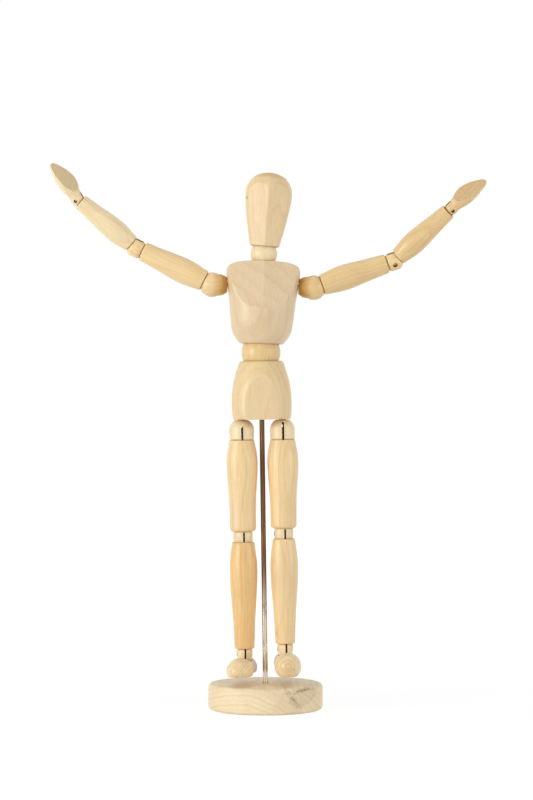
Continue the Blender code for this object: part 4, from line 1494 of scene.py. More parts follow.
def ball_cup(centre: float, ball: float, rim: float, depth: float) -> Outline:
    """A dish for a trunk ball with the spring's bore behind it.

    Args:
        centre: Height of the ball's centre.
        ball: Radius of the ball.
        rim: Height of the dish's rim.
        depth: Distance of the bore's floor from the ball's centre.

    Returns:
        The hollow, from its rim to the axis.
    """
    hollow = ball + FITS.dish
    side = 1.0 if rim > centre else -1.0
    start = math.degrees(math.acos(abs(rim - centre) / hollow))
    end = math.degrees(math.asin(COIL.bore / hollow))
    # The dish and the bore take painted shade
    drawn = Outline(Grime.CUP).arc(0, hollow, start, end).to(COIL.bore, depth).to(0, depth)
    for point in drawn.points:
        point.y = centre + side * point.y
    return drawn


def trunk_ball(radius: float, lean: float = 24.0) -> BMesh:
    """A ball of the waist or the neck, with a bore that flares both ways so that springs can lean.

    Args:
        radius: Radius of the ball.
        lean: How far the bore flares, in degrees.

    Returns:
        The turned ball.
    """
    slope = math.tan(math.radians(lean))
    square = 1.0 + slope * slope
    half = COIL.bore * slope
    rise = (math.sqrt(half * half - square * (COIL.bore ** 2 - radius ** 2)) - half) / square
    rim = math.degrees(math.acos(rise / radius))
    outline = Outline().arc(0, radius, rim, 180.0 - rim).to(COIL.bore, 0)
    return turn(outline, TRUNK_FACETS, loop=True)


@dataclass
class Trunk:
    """Pelvis, waist, chest, neck and head; sizes in millimetres.

    Attributes:
        shop: Where its pieces are finished.
        stand: The stand that carries it.
        waist_ball: Radius of the waist's ball.
        waist_shown: Height of the waist that shows.
        neck_ball: Radius of the neck's ball.
        neck_shown: Height of the neck that shows.
        hip_spread: Distance of a hip's stem from the middle.
        axle: Radius of the shoulders' axle.
        shoulder_rise: Height of the axle above the chest's lower end.
        shoulder_reach: Distance of a shoulder's pin from the middle.
        shoulder_seat: Distance from a shoulder's pin to its flat face.
        shoulder_face: Radius of a shoulder's flat face.
        ball_pitch: Width of a growth ring in the balls' wood.
        pelvis: The pelvis.
        chest: The chest.
        head: The head.
    """

    shop: Workshop
    stand: Stand
    waist_ball: float = 10.9
    waist_shown: float = 9.6
    neck_ball: float = 7.5
    neck_shown: float = 8.3
    hip_spread: float = 11.4
    axle: float = 1.5
    shoulder_rise: float = 32.4
    shoulder_reach: float = 28.5
    shoulder_seat: float = 8.6
    shoulder_face: float = 4.0
    ball_pitch: float = 2.0
    pelvis: TrunkPiece = TrunkPiece(
        stations=(
            (11.2, 32.7), (11.8, 32.5), (12.5, 31.7), (13.1, 29.9), (15.2, 23.2), (16.4, 16.5),
            (16.8, 9.3), (16.35, 1.4), (16.0, 0.4), (15.4, 0.0),
        ),
        depth=0.92,
        flats=(Flat((0.0, -12.9, 10.0), 0.0, -3.0),),
    )
    chest: TrunkPiece = TrunkPiece(
        stations=(
            (8.0, 46.4), (13.0, 45.9), (17.0, 44.9), (19.7, 43.3), (20.7, 40.5), (19.9, 33.0),
            (18.45, 22.0), (17.7, 14.5), (16.8, 8.0), (15.4, 4.4), (13.3, 1.4), (12.4, 0.4),
            (11.3, 0.0),
        ),
        depth=0.9,
        flats=(
            Flat((0.0, -16.35, 19.7), 9.5, 18.5),
            Flat((0.0, -16.35, 19.7), -9.5, 18.5),
        ),
    )
    head: TrunkPiece = TrunkPiece(
        stations=(
            (0.0, 41.4), (2.2, 41.2), (5.3, 40.4), (8.5, 38.8), (10.9, 36.2), (12.5, 33.0),
            (13.05, 30.0), (12.85, 25.3), (11.9, 18.4), (10.4, 10.2), (8.95, 3.5), (8.4, 0.9),
            (8.2, 0.3), (7.7, 0.0),
        ),
        depth=1.0,
        flats=(
            Flat((0.0, -12.4, 30.0), 24.0, -8.0),
            Flat((0.0, -12.4, 30.0), -24.0, -8.0),
        ),
    )

    def build(self) -> None:
        """Make the trunk's pieces, from the pelvis up."""
        self.build_pelvis()
        self.build_waist()
        self.build_chest()
        self.build_head()

    def build_pelvis(self) -> None:
        """Make the pelvis, with its waist dish, its rod bore and its hip bores."""
        height = self.pelvis.height
        half_waist = self.waist_shown / 2.0
        rod = self.stand.rod + FITS.gap
        depth = self.stand.rod_depth + FITS.gap
        spring = half_waist + COIL.depth + FITS.gap
        # The rod's bore and the waist dish take painted shade
        bm = self.pelvis.turned(
            Outline(Grime.BORE).to(rod, 0).to(rod, depth).to(0, depth),
            ball_cup(height + half_waist, self.waist_ball, height, spring),
        )
        tools = []
        for side in Side:
            bore = bar(FITS.stem_bore, -FITS.stem_reach, FITS.stem_reach)
            tools.append(moved(bore, (side.value * self.hip_spread, 0, 0)))
        place = seat(joint_spot("figure_turn"), FIGURE_LEFT, joint_axis("figure_turn", UP))
        blank = Blank(Tone.IVORY, Slot.PALE, 11, (6.0, 30.0), 2.6)
        self.shop.wood("pelvis", bm, place, blank, tools)

    def build_waist(self) -> None:
        """Make the waist ball and the spring below it."""
        place = seat(joint_spot("waist_bend"), FIGURE_LEFT, joint_axis("waist_twist", UP))
        blank = Blank(Tone.HONEY, Slot.PALE, 8, pitch=self.ball_pitch)
        self.shop.wood("waist_ball", trunk_ball(self.waist_ball), place, blank)
        low = -(self.waist_shown / 2.0 + COIL.depth)
        self.shop.steel_piece("waist_spring", COIL.wound(low, -COIL.end_gap), place)

    def build_chest(self) -> None:
        """Make the chest, its two springs and the shoulders' axle."""
        rise = self.waist_shown / 2.0
        top = self.chest.height
        half_neck = self.neck_shown / 2.0
        bm = self.chest.turned(
            ball_cup(-rise, self.waist_ball, 0.0, rise + COIL.depth + FITS.gap),
            ball_cup(top + half_neck, self.neck_ball, top, half_neck + COIL.depth / 2.0),
        )
        moved(bm, (0, 0, rise))
        axle_rise = rise + self.shoulder_rise
        hole = self.axle + FITS.gap
        face = self.shoulder_face + 2.0 * FITS.gap
        floor = self.shoulder_reach - self.shoulder_seat - FITS.gap
        end = self.shoulder_reach
        bore = Outline().to(0, end).to(face, end).to(face, floor).to(hole, floor)
        bore.to(hole, -floor).to(face, -floor).to(face, -end).to(0, -end)
        tool = moved(lay_along_x(turn(bore, STEEL_FACETS)), (0, 0, axle_rise))
        along_x = joint_axis("neck_nod", FIGURE_LEFT)
        place = seat(joint_spot("waist_lean"), along_x, along_x.cross(-FRONT))
        blank = Blank(Tone.BLUSH, Slot.PINK, 3, (9.0, 34.0), 3.0)
        self.shop.wood("chest", bm, place, blank, [tool])
        self.shop.steel_piece("chest_spring", COIL.wound(COIL.end_gap, rise + COIL.depth), place)
        neck = rise + top + half_neck
        low = neck - half_neck - COIL.depth / 2.0 + FITS.gap
        self.shop.steel_piece("neck_spring", COIL.wound(low, neck - COIL.end_gap), place)
        reach = self.shoulder_reach - FITS.stem_floor - FITS.gap
        axle = lay_along_x(bar(self.axle, -reach, reach, chamfer=FITS.rod_chamfer))
        self.shop.steel_piece("shoulder_axle", moved(axle, (0, 0, axle_rise)), place)

    def build_head(self) -> None:
        """Make the neck, the spring above it and the head."""
        spot = joint_spot("head_turn")
        along_x = joint_axis("neck_nod", FIGURE_LEFT)
        place = seat(spot, along_x, along_x.cross(-FRONT))
        blank = Blank(Tone.STRAW, Slot.PALE, 14, pitch=self.ball_pitch)
        self.shop.wood("neck", trunk_ball(self.neck_ball), place, blank)
        upright = joint_axis("head_turn", UP)
        place = seat(spot, (-FRONT).cross(upright), upright)
        rise = self.neck_shown / 2.0
        depth = rise + COIL.depth
        self.shop.steel_piece("head_spring", COIL.wound(COIL.end_gap, depth), place)
        bm = self.head.turned(ball_cup(-rise, self.neck_ball, 0.0, depth + FITS.gap))
        speck = Knot((-11.9, -4.9, 26.0 + rise), (1.2, 1.2, 1.2), 0.4, 1.0)
        blank = Blank(Tone.IVORY, Slot.PALE, 21, (-8.0, 26.0), 2.6, (speck,))
        self.shop.wood("head", moved(bm, (0, 0, rise)), place, blank)


@dataclass(frozen=True)
class LimbEnd:
    """One end of a limb, in millimetres.

    Attributes:
        ball: Radius of the bead that the end's dish takes.
        shown: Distance of the end from the bead's centre.
        lip: Width of the flat between the dish and the rounded edge.
        edge: Width and height of the rounded edge.
    """

    ball: float
    shown: float
    lip: float
    edge: Point

    @property
    def rim(self) -> float:
        """Radius at which the dish meets the end."""
        return math.sqrt((self.ball + FITS.dish) ** 2 - self.shown ** 2)

    def rounded(self, face: float, inward: int) -> list[Point]:
        """The rounded edge, from the flat lip to the limb's side.

        Args:
            face: Height of the limb's end.
            inward: Direction along Z, 1 or -1, that leads into the limb.

        Returns:
            The (radius, height) points.
        """
        width, height = self.edge
        start = self.rim + self.lip
        points = []
        for step in range(round(90.0 / EDGE_STEP) + 1):
            angle = math.radians(step * EDGE_STEP)
            rise = height * (1.0 - math.cos(angle))
            points.append((start + width * math.sin(angle), face + inward * rise))
        return points


@dataclass(frozen=True)
class Limb:
    """A turned limb with a hollow dish at each end, in millimetres.

    Attributes:
        upper: Its upper end.
        lower: Its lower end.
        length: Its length.
        belly: Radius of its fullest place, and that place's distance from the upper end.
        waist: Radius of its slimmest place, and that place's distance from the lower end.
    """

    upper: LimbEnd
    lower: LimbEnd
    length: float
    belly: Point
    waist: Point

    @property
    def span(self) -> float:
        """Distance between the two beads' centres."""
        return self.upper.shown + self.length + self.lower.shown

    def turned(self) -> BMesh:
        """Turn the limb, hanging from the origin down -Z.

        Returns:
            The turned limb.
        """
        top = -self.upper.shown
        bottom = top - self.length
        belly, belly_at = self.belly
        waist, waist_at = self.waist
        # Painted shade at the rims and lips, and deep in the dishes
        outline = Outline(Grime.RIM).to(self.upper.rim, top).soiled(Grime.LIP)
        for point in self.upper.rounded(top, -1):
            outline.to(*point).soiled(Grime.CLEAN)
        foot = self.lower.rounded(bottom, 1)
        outline.through((belly, top - belly_at), (waist, bottom + waist_at), foot[-1])
        for point in reversed(foot[:-1]):
            outline.to(*point)
        outline.soiled(Grime.RIM).to(self.lower.rim, bottom).soiled(Grime.BORE)
        self.draw_dish(outline, self.lower, -self.span, 1.0)
        self.draw_dish(outline, self.upper, 0.0, -1.0)
        return turn(outline, LIMB_FACETS, loop=True)

    @staticmethod
    def draw_dish(outline: Outline, end: LimbEnd, centre: float, side: float) -> None:
        """Draw a dish between its rim and the bore: inwards above a bead, outwards below one.

        Args:
            outline: The outline to go on with.
            end: The limb's end.
            centre: Height of the bead's centre.
            side: 1 above the bead, -1 below it.
        """
        hollow = end.ball + FITS.dish
        outer = math.degrees(math.asin(end.rim / hollow))
        inner = math.degrees(math.asin(FITS.stem_bore / hollow))
        if side > 0:
            outline.arc(centre, hollow, outer, inner)
        else:
            outline.arc(centre, hollow, 180.0 - inner, 180.0 - outer)


def bead(radius: float, side: float, stem_top: float, lower: float = 0.0) -> BMesh:
    """A bead with two round ends, a cylinder for its side and a stem's bore in its upper end.

    Args:
        radius: Radius of the ends.
        side: Radius of the side.
        stem_top: Height at which the upper end is cut flat, or the radius where it is round.
        lower: Radius of the lower end, if it differs.

    Returns:
        The turned bead.
    """
    # The stem's bore takes painted shade
    outline = Outline(Grime.BORE).to(0, FITS.stem_floor).to(FITS.stem_bore, FITS.stem_floor)
    mouth = min(stem_top, math.sqrt(radius * radius - FITS.stem_bore ** 2))
    outline.to(FITS.stem_bore, mouth).soiled(Grime.CLEAN)
    start = math.degrees(math.acos(mouth / radius))
    outline.arc(0, radius, start, math.degrees(math.asin(side / radius)))
    lower = lower or radius
    outline.arc(0, lower, 180.0 - math.degrees(math.asin(side / lower)), 180.0)
    return turn(outline, BEAD_FACETS)


@dataclass
class SideParts:
    """What the arms and the legs have in common.

    Attributes:
        shop: Where their pieces are finished.
        side: The figure's left or right.
        ring_pitch: Width of a growth ring in their wood, in millimetres.
    """

    shop: Workshop
    side: Side
    ring_pitch: ClassVar[float]

    def node(self, name: str) -> str:
        """The name of this side's node or joint."""
        return f"{name}_{self.side.label}"

    def tone(self, left: Tone, right: Tone) -> Tone:
        """This side's tone."""
        return left if self.side is Side.LEFT else right

    def blank(self, tone: Tone, slot: Slot, seed: int) -> Blank:
        """A length of wood that differs from the other side's."""
        return Blank(tone, slot, seed + RIGHT_SEED * (self.side is Side.RIGHT), pitch=self.ring_pitch)

    def make_stem(self, name: str, top: float, place: Matrix, metal: Metal = Metal.BRIGHT) -> None:
        """Make the stem that a bead turns on.

        Args:
            name: The stem's name, without its side.
            top: Height of its upper end above the bead's pin.
            place: The bead's frame.
            metal: Its finish.
        """
        stem = bar(FITS.stem, FITS.stem_floor + FITS.gap, top, chamfer=FITS.stem_chamfer)
        self.shop.steel_piece(self.node(name), stem, place, metal)

    def make_pin(
        self, name: str, across: float, place: Matrix,
        mouth: Mouth = Mouth.MINUS, pin: float = FITS.pin,
    ) -> None:
        """Make the cross pin of a bead.

        Args:
            name: The pin's name, without its side.
            across: Radius of the bead that it crosses.
            place: The bead's frame.
            mouth: The end at which its hole is open.
            pin: Its radius.
        """
        self.shop.steel_piece(self.node(name), cross_pin(across, pin, mouth), place, Metal.GILDED)

    def make_link(self, name: str, strip: BMesh, place: Matrix) -> None:
        """Make the near-black link of a limb."""
        self.shop.steel_piece(self.node(name), strip, place, Metal.BLACKENED)


@dataclass
class Arm(SideParts):
    """One arm, from the shoulder ball to the hand; sizes in millimetres.

    Attributes:
        trunk: The trunk that carries it.
        shoulder: Radius of the shoulder ball.
        shoulder_barrel: Radius and distance from the pin of the shoulder's side towards the chest.
        shoulder_cone: Angle at which the shoulder's round part runs into that side, in degrees.
        shoulder_stain: Depth of the amber at the shoulder's face: painted shade and warm reflection
            from the chest, with some varnish gathered there.
        elbow: Radius of the elbow's ends.
        elbow_side: Radius of the elbow's side.
        wrist: Radius of the wrist ball.
        wrist_round: Angle at which the wrist ball runs into the hand, in degrees.
        hand_length: Distance from the wrist's pin to the finger tips.
        hand_neck: Radius of the hand's neck, and its distance from the pin.
        hand_palm: Radius of the palm, and its distance from the pin.
        hand_fingers: Radius of the hand halfway along the fingers, and the distance from the pin.
        hand_tip: Radius of the finger tips.
        hand_bow: How far the middle of the hand bends towards its palm.
        palm_near: Distance of the palm's flat from the hand's axis at the neck.
        palm_far: Distance of the palm's flat from the hand's axis at the tips.
        palm_turn: How far the palm is turned round the hand towards the pin's front end, in degrees.
        palm_rim: Width of the rounded rim of the palm's flat.
        uneven: How much longer than the mean the left forearm is.
        upper_arm: The upper arm.
        forearm: The forearm, of the mean length until it gets its side's own.
    """

    ring_pitch: ClassVar[float] = 1.9
    trunk: Trunk
    shoulder: float = 6.9
    shoulder_barrel: tuple[Point, ...] = ((5.5, 6.3), (6.0, 4.2))
    shoulder_cone: float = 62.0
    shoulder_stain: float = 0.42
    elbow: float = 5.6
    elbow_side: float = 5.2
    wrist: float = 3.75
    wrist_round: float = 105.0
    hand_length: float = 24.4
    hand_neck: Point = (3.65, 3.0)
    hand_palm: Point = (5.2, 10.2)
    hand_fingers: Point = (4.2, 17.2)
    hand_tip: float = 1.3
    hand_bow: float = 1.2
    palm_near: float = 4.9
    palm_far: float = 0.4
    palm_turn: float = 28.0
    palm_rim: float = 0.12
    uneven: float = 0.6
    upper_arm: Limb = Limb(
        LimbEnd(6.9, 5.0, 0.0, (0.7, 0.8)), LimbEnd(5.6, 4.0, 0.55, (0.5, 0.8)),
        length=38.0, belly=(7.1, 12.0), waist=(6.0, 9.5),
    )
    forearm: Limb = Limb(
        LimbEnd(5.6, 4.0, 0.35, (0.25, 0.8)), LimbEnd(3.75, 2.5, 0.8, (0.45, 0.8)),
        length=37.0, belly=(6.3, 10.5), waist=(5.1, 9.0),
    )

    def __post_init__(self) -> None:
        """Give the forearm its own side's length, and find the arm's joints."""
        length = self.forearm.length + self.side.value * self.uneven
        self.forearm = replace(self.forearm, length=length)
        self.shoulder_spot = joint_spot(self.node("arm_raise"))
        self.elbow_spot = joint_spot(self.node("elbow_bend"))
        self.wrist_spot = joint_spot(self.node("wrist_bend"))
        self.elbow_pin = joint_axis(self.node("elbow_bend"), FRONT)

    def build(self) -> None:
        """Make the arm's pieces, from the shoulder out."""
        self.build_shoulder()
        self.build_upper_arm()
        self.build_elbow()
        self.build_forearm()
        self.build_hand()

    def build_shoulder(self) -> None:
        """Make the shoulder ball and its pin."""
        inwards = joint_axis(self.node("shoulder_swing"), -self.side.value * FIGURE_LEFT)
        place = seat(self.shoulder_spot, FRONT, inwards)
        face = self.trunk.shoulder_seat
        hole = self.trunk.axle + FITS.gap
        # The axle's bore takes painted shade
        outline = Outline(Grime.BORE).to(0, FITS.stem_floor).to(hole, FITS.stem_floor).to(hole, face)
        inside = len(outline.points)
        outline.to(self.trunk.shoulder_face, face)
        cone = math.radians(self.shoulder_cone)
        round_from = (self.shoulder * math.sin(cone), self.shoulder * math.cos(cone))
        outline.through(*self.shoulder_barrel, round_from)
        outline.arc(0, self.shoulder, self.shoulder_cone, 180.0)
        # Amber painted shade and warm reflection from the chest, with some gathered varnish, growing
        # towards the flat face
        for point in outline.points[inside:]:
            point.z = self.shoulder_stain * smoothstep(-self.shoulder / 4.0, face, point.y)
        tools = [slot_tool(self.shoulder, FITS.pin), pin_hole(self.shoulder, FITS.pin, Mouth.MINUS)]
        blank = self.blank(self.tone(Tone.HONEY, Tone.CREAM), Slot.AMBER, 17)
        self.shop.wood(self.node("shoulder_ball"), turn(outline, BEAD_FACETS), place, blank, tools)
        self.make_pin("shoulder_pin", self.shoulder, place)

    def build_upper_arm(self) -> None:
        """Make the upper arm and its link."""
        place = seat(self.shoulder_spot, FRONT, self.shoulder_spot - self.elbow_spot)
        blank = self.blank(self.tone(Tone.HONEY, Tone.CREAM), Slot.PALE, 6)
        self.shop.wood(self.node("upper_arm"), self.upper_arm.turned(), place, blank)
        self.make_link("upper_arm_link", tang_link(self.upper_arm.upper.shown), place)

    def build_elbow(self) -> None:
        """Make the elbow bead, its stem and its pin."""
        place = seat(self.elbow_spot, self.elbow_pin, self.shoulder_spot - self.elbow_spot)
        mouth = Mouth.PLUS if self.side is Side.LEFT else Mouth.MINUS
        tools = [slot_tool(self.elbow, FITS.pin), pin_hole(self.elbow_side, FITS.pin, mouth)]
        shape = bead(self.elbow, self.elbow_side, self.elbow)
        self.shop.wood(self.node("elbow"), shape, place, self.blank(Tone.CREAM, Slot.PALE, 9), tools)
        self.make_stem("elbow_stem", self.upper_arm.lower.shown + FITS.stem_reach, place)
        self.make_pin("elbow_pin", self.elbow_side, place, mouth)

    def build_forearm(self) -> None:
        """Make the forearm and the link through it."""
        place = seat(self.elbow_spot, self.elbow_pin, self.elbow_spot - self.wrist_spot)
        blank = self.blank(self.tone(Tone.HONEY, Tone.STRAW), Slot.AMBER, 12)
        self.shop.wood(self.node("forearm"), self.forearm.turned(), place, blank)
        self.make_link("forearm_link", through_link(self.forearm.span, FITS.wrist_pin), place)

    def build_hand(self) -> None:
        """Make the hand, with its flat palm, and the wrist's pin."""
        tip = farthest_point(self.node("hand"), self.wrist_spot)
        place = seat(self.wrist_spot, self.elbow_pin, self.wrist_spot - tip)
        neck, neck_at = self.hand_neck
        palm, palm_at = self.hand_palm
        fingers, fingers_at = self.hand_fingers
        outline = Outline().arc(0, self.wrist, 0, self.wrist_round)
        outline.through(
            (neck, -neck_at), (palm, -palm_at), (fingers, -fingers_at),
            (self.hand_tip, -self.hand_length + self.hand_tip / 3.0), (0.0, -self.hand_length),
        )
        bm = turn(outline, LIMB_FACETS)
        for vert in bm.verts:
            along = min(max(-vert.co.z / self.hand_length, 0.0), 1.0)
            vert.co.y += self.side.value * self.hand_bow * math.sin(math.pi * along)
        turned = math.radians(self.palm_turn)
        out = Vector((math.sin(turned), self.side.value * math.cos(turned), 0))
        near = out * self.palm_near - UP * neck_at
        along = out * self.palm_far - UP * self.hand_length - near
        square = out - along * (out.dot(along) / along.length_squared)
        plane_off(bm, near, square.normalized(), self.palm_rim)
        tools = [
            slot_tool(self.wrist, FITS.wrist_pin, True),
            pin_hole(self.wrist, FITS.wrist_pin, Mouth.PLUS),
        ]
        blank = self.blank(self.tone(Tone.HONEY, Tone.STRAW), Slot.PALE, 19)
        self.shop.wood(self.node("hand"), bm, place, blank, tools)
        self.make_pin("wrist_pin", self.wrist, place, Mouth.PLUS, FITS.wrist_pin)


@dataclass
class Leg(SideParts):
    """One leg, from the hip ball to the foot; sizes in millimetres.

    Attributes:
        hip: Radius of the hip ball's upper end.
        hip_side: Radius of the hip ball's side.
        hip_swing: Radius of the hip ball's lower end, which the thigh swings round.
        hip_seat: Height of the flat on the hip ball.
        hip_saw: How much wider the hips' slots are than the others, and how much deeper the left
            one is.
        knee: Radius of the knee's ends.
        knee_side: Radius of the knee's side.
        ankle: Radius of the ankle's round end.
        ankle_side: Radius of the ankle below its round end.
        ankle_foot: Radius of the ankle where it meets the foot.
        ankle_seat: Depth below the ankle's pin at which it sits in the foot.
        ankle_spigot: Length of the spigot that turns in the foot.
        foot_axis: Depth of the foot's turning axis below the ankle's pin.
        sole: Depth of the sole below the foot's turning axis, the mean of both feet.
        sole_rim: Rounding of the sole's edges.
        heel: Distance of the heel's end behind the ankle, and its radius.
        instep: Radius of the foot between heel and toe.
        toe: Distance of the toe's end before the ankle, and its radius.
        toe_centre: Distance of the fullest part of the toe before the ankle.
        toe_round: Angle at which the toe runs into the instep, in degrees.
        uneven: How much shorter than the mean the left thigh and shin are, and how much deeper the
            left foot's sole.
        thigh: The thigh, of the mean length until it gets its side's own.
        shin: The shin, of the mean length until it gets its side's own.
    """

    ring_pitch: ClassVar[float] = 2.1
    hip: float = 7.1
    hip_side: float = 6.9
    hip_swing: float = 8.1
    hip_seat: float = 6.0
    hip_saw: Point = (0.25, 2.2)
    knee: float = 5.9
    knee_side: float = 5.4
    ankle: float = 5.0
    ankle_side: float = 4.5
    ankle_foot: float = 3.7
    ankle_seat: float = 3.5
    ankle_spigot: float = 5.2
    foot_axis: float = 7.8
    sole: float = 4.15
    sole_rim: float = 0.3
    heel: Point = (11.7, 6.0)
    instep: float = 5.6
    toe: Point = (26.0, 7.35)
    toe_centre: float = 17.0
    toe_round: float = 80.0
    uneven: tuple[float, float, float] = (0.8, 0.45, 1.45)
    thigh: Limb = Limb(
        LimbEnd(8.1, 5.2, 0.1, (0.35, 0.6)), LimbEnd(5.9, 3.0, 0.5, (1.35, 2.2)),
        length=50.2, belly=(8.65, 11.0), waist=(7.5, 16.5),
    )
    shin: Limb = Limb(
        LimbEnd(5.9, 3.0, 0.3, (0.65, 1.0)), LimbEnd(5.0, 3.3, 0.9, (0.45, 0.5)),
        length=59.0, belly=(7.78, 14.5), waist=(6.15, 14.0),
    )

    def __post_init__(self) -> None:
        """Give the leg its own side's lengths."""
        thigh, shin, sole = (self.side.value * share for share in self.uneven)
        self.thigh = replace(self.thigh, length=self.thigh.length - thigh)
        self.shin = replace(self.shin, length=self.shin.length - shin)
        self.sole += sole
        self.upright = joint_axis(self.node("hip_turn"), UP)

    def build(self) -> None:
        """Make the leg's pieces, from the hip down."""
        self.build_hip()
        self.build_thigh()
        self.build_knee()
        self.build_shin()
        self.build_ankle()
        self.build_foot()

    def place(self, joint: str) -> Matrix:
        """The frame of a piece that hangs upright on one of the leg's pins."""
        name = self.node(joint)
        return seat(joint_spot(name), joint_axis(name, FIGURE_LEFT), self.upright)

    def build_hip(self) -> None:
        """Make the hip ball, its stem and its pin."""
        place = self.place("thigh_swing")
        wider, deeper = self.hip_saw
        if self.side is Side.RIGHT:
            deeper = 0.0
        slot = slot_tool(self.hip_swing, FITS.pin, wider=wider, deeper=deeper)
        tools = [slot, pin_hole(self.hip_side, FITS.pin, Mouth.MINUS)]
        shape = bead(self.hip, self.hip_side, self.hip_seat, self.hip_swing)
        blank = self.blank(Tone.STRAW, Slot.AMBER, 4)
        self.shop.wood(self.node("hip_ball"), shape, place, blank, tools)
        self.make_stem("hip_stem", self.hip_seat + FITS.stem_reach, place, Metal.BLACKENED)
        self.make_pin("hip_pin", self.hip_side, place)

    def build_thigh(self) -> None:
        """Make the thigh and its link."""
        place = self.place("thigh_swing")
        blank = self.blank(Tone.CREAM, Slot.PALE, 10)
        self.shop.wood(self.node("thigh"), self.thigh.turned(), place, blank)
        self.make_link("thigh_link", tang_link(self.thigh.upper.shown), place)

    def build_knee(self) -> None:
        """Make the knee bead, its stem and its pin."""
        place = self.place("knee_bend")
        tools = [slot_tool(self.knee, FITS.pin), pin_hole(self.knee_side, FITS.pin, Mouth.MINUS)]
        shape = bead(self.knee, self.knee_side, self.knee)
        blank = self.blank(Tone.STRAW, Slot.PALE, 13)
        self.shop.wood(self.node("knee"), shape, place, blank, tools)
        self.make_stem("knee_stem", self.thigh.lower.shown + FITS.stem_reach, place)
        self.make_pin("knee_pin", self.knee_side, place)

    def build_shin(self) -> None:
        """Make the shin and the link through it."""
        place = self.place("knee_bend")
        blank = self.blank(self.tone(Tone.CREAM, Tone.AMBER), Slot.AMBER, 16)
        self.shop.wood(self.node("shin"), self.shin.turned(), place, blank)
        self.make_link("shin_link", through_link(self.shin.span, FITS.pin), place)

    def build_ankle(self) -> None:
        """Make the ankle and its pin."""
        place = self.place("ankle_bend")
        shoulder = math.degrees(math.asin(self.ankle_side / self.ankle))
        below = -self.ankle_seat
        tail = below - self.ankle_spigot
        outline = Outline().arc(0, self.ankle, 0, shoulder).to(self.ankle_side, 0)
        outline.to(self.ankle_foot, below).to(FITS.stem, below).to(FITS.stem, tail).to(0, tail)
        tools = [
            slot_tool(self.ankle, FITS.pin, True),
            pin_hole(self.ankle_side, FITS.pin, Mouth.MINUS),
        ]
        blank = self.blank(Tone.STRAW, Slot.PALE, 18)
        self.shop.wood(self.node("ankle"), turn(outline, BEAD_FACETS), place, blank, tools)
        self.make_pin("ankle_pin", self.ankle_side, place)

    def build_foot(self) -> None:
        """Make the foot, turned lying down, with its sole sanded flat and a seat for the ankle."""
        spot = joint_spot(self.node("foot_turn"))
        ahead = farthest_point(self.node("foot"), spot) - spot
        upright = seat(spot, Vector((-ahead.y, ahead.x, 0.0)), self.upright)
        forwards = Matrix.Rotation(math.radians(-90.0), 4, "X")
        lying = Matrix.Translation((0, 0, -self.foot_axis)) @ forwards
        heel, heel_radius = self.heel
        toe, toe_radius = self.toe
        outline = Outline().arc(heel - heel_radius, heel_radius, 0, 90)
        cap = Outline().arc(0, toe_radius, self.toe_round, 180.0)
        stretch = (toe - self.toe_centre) / toe_radius
        curved = [(point.x, point.y * stretch - self.toe_centre) for point in cap.points]
        outline.through((self.instep, (heel - heel_radius - self.toe_centre) / 2.0), curved[0])
        for radius, height in curved[1:]:
            outline.to(radius, height)
        bm = turn(outline, LIMB_FACETS)
        sand(bm, (0, self.sole, 0), Vector((0, 1, 0)), self.sole_rim)
        below = -(self.ankle_seat + FITS.gap)
        tail = below - self.ankle_spigot
        wide = self.ankle_side + FITS.gap
        cone = Outline().to(0, self.ankle).to(wide, self.ankle).to(wide, 0)
        cone.to(self.ankle_foot + FITS.gap, below).to(FITS.stem_bore, below)
        cone.to(FITS.stem_bore, tail).to(0, tail)
        tool = turn(cone, BEAD_FACETS)
        bmesh.ops.transform(tool, matrix=lying.inverted(), verts=tool.verts)
        scaled = lying.copy()
        scaled.translation *= MM
        if self.side is Side.LEFT:
            blank = Blank(Tone.TOE, Slot.PINK, 2, (0.2, -1.2), 1.9)
        else:
            dark = Knot((-1.6, 2.5, -23.0), (2.6, 1.1, 4.0), 1.0, 0.8)
            blank = Blank(Tone.TOE, Slot.PINK, 24, (26.0, 12.0), 2.0, (dark,))
        self.shop.wood(self.node("foot"), bm, upright @ scaled, blank, [tool])


@dataclass(frozen=True)
class Softbox:
    """A soft lamp.

    Attributes:
        name: Its name.
        spot: Where it hangs, in metres.
        size: Width and height of its face, in metres.
        power: Its power, in watts.
    """

    name: str
    spot: tuple[float, float, float]
    size: Point
    power: float


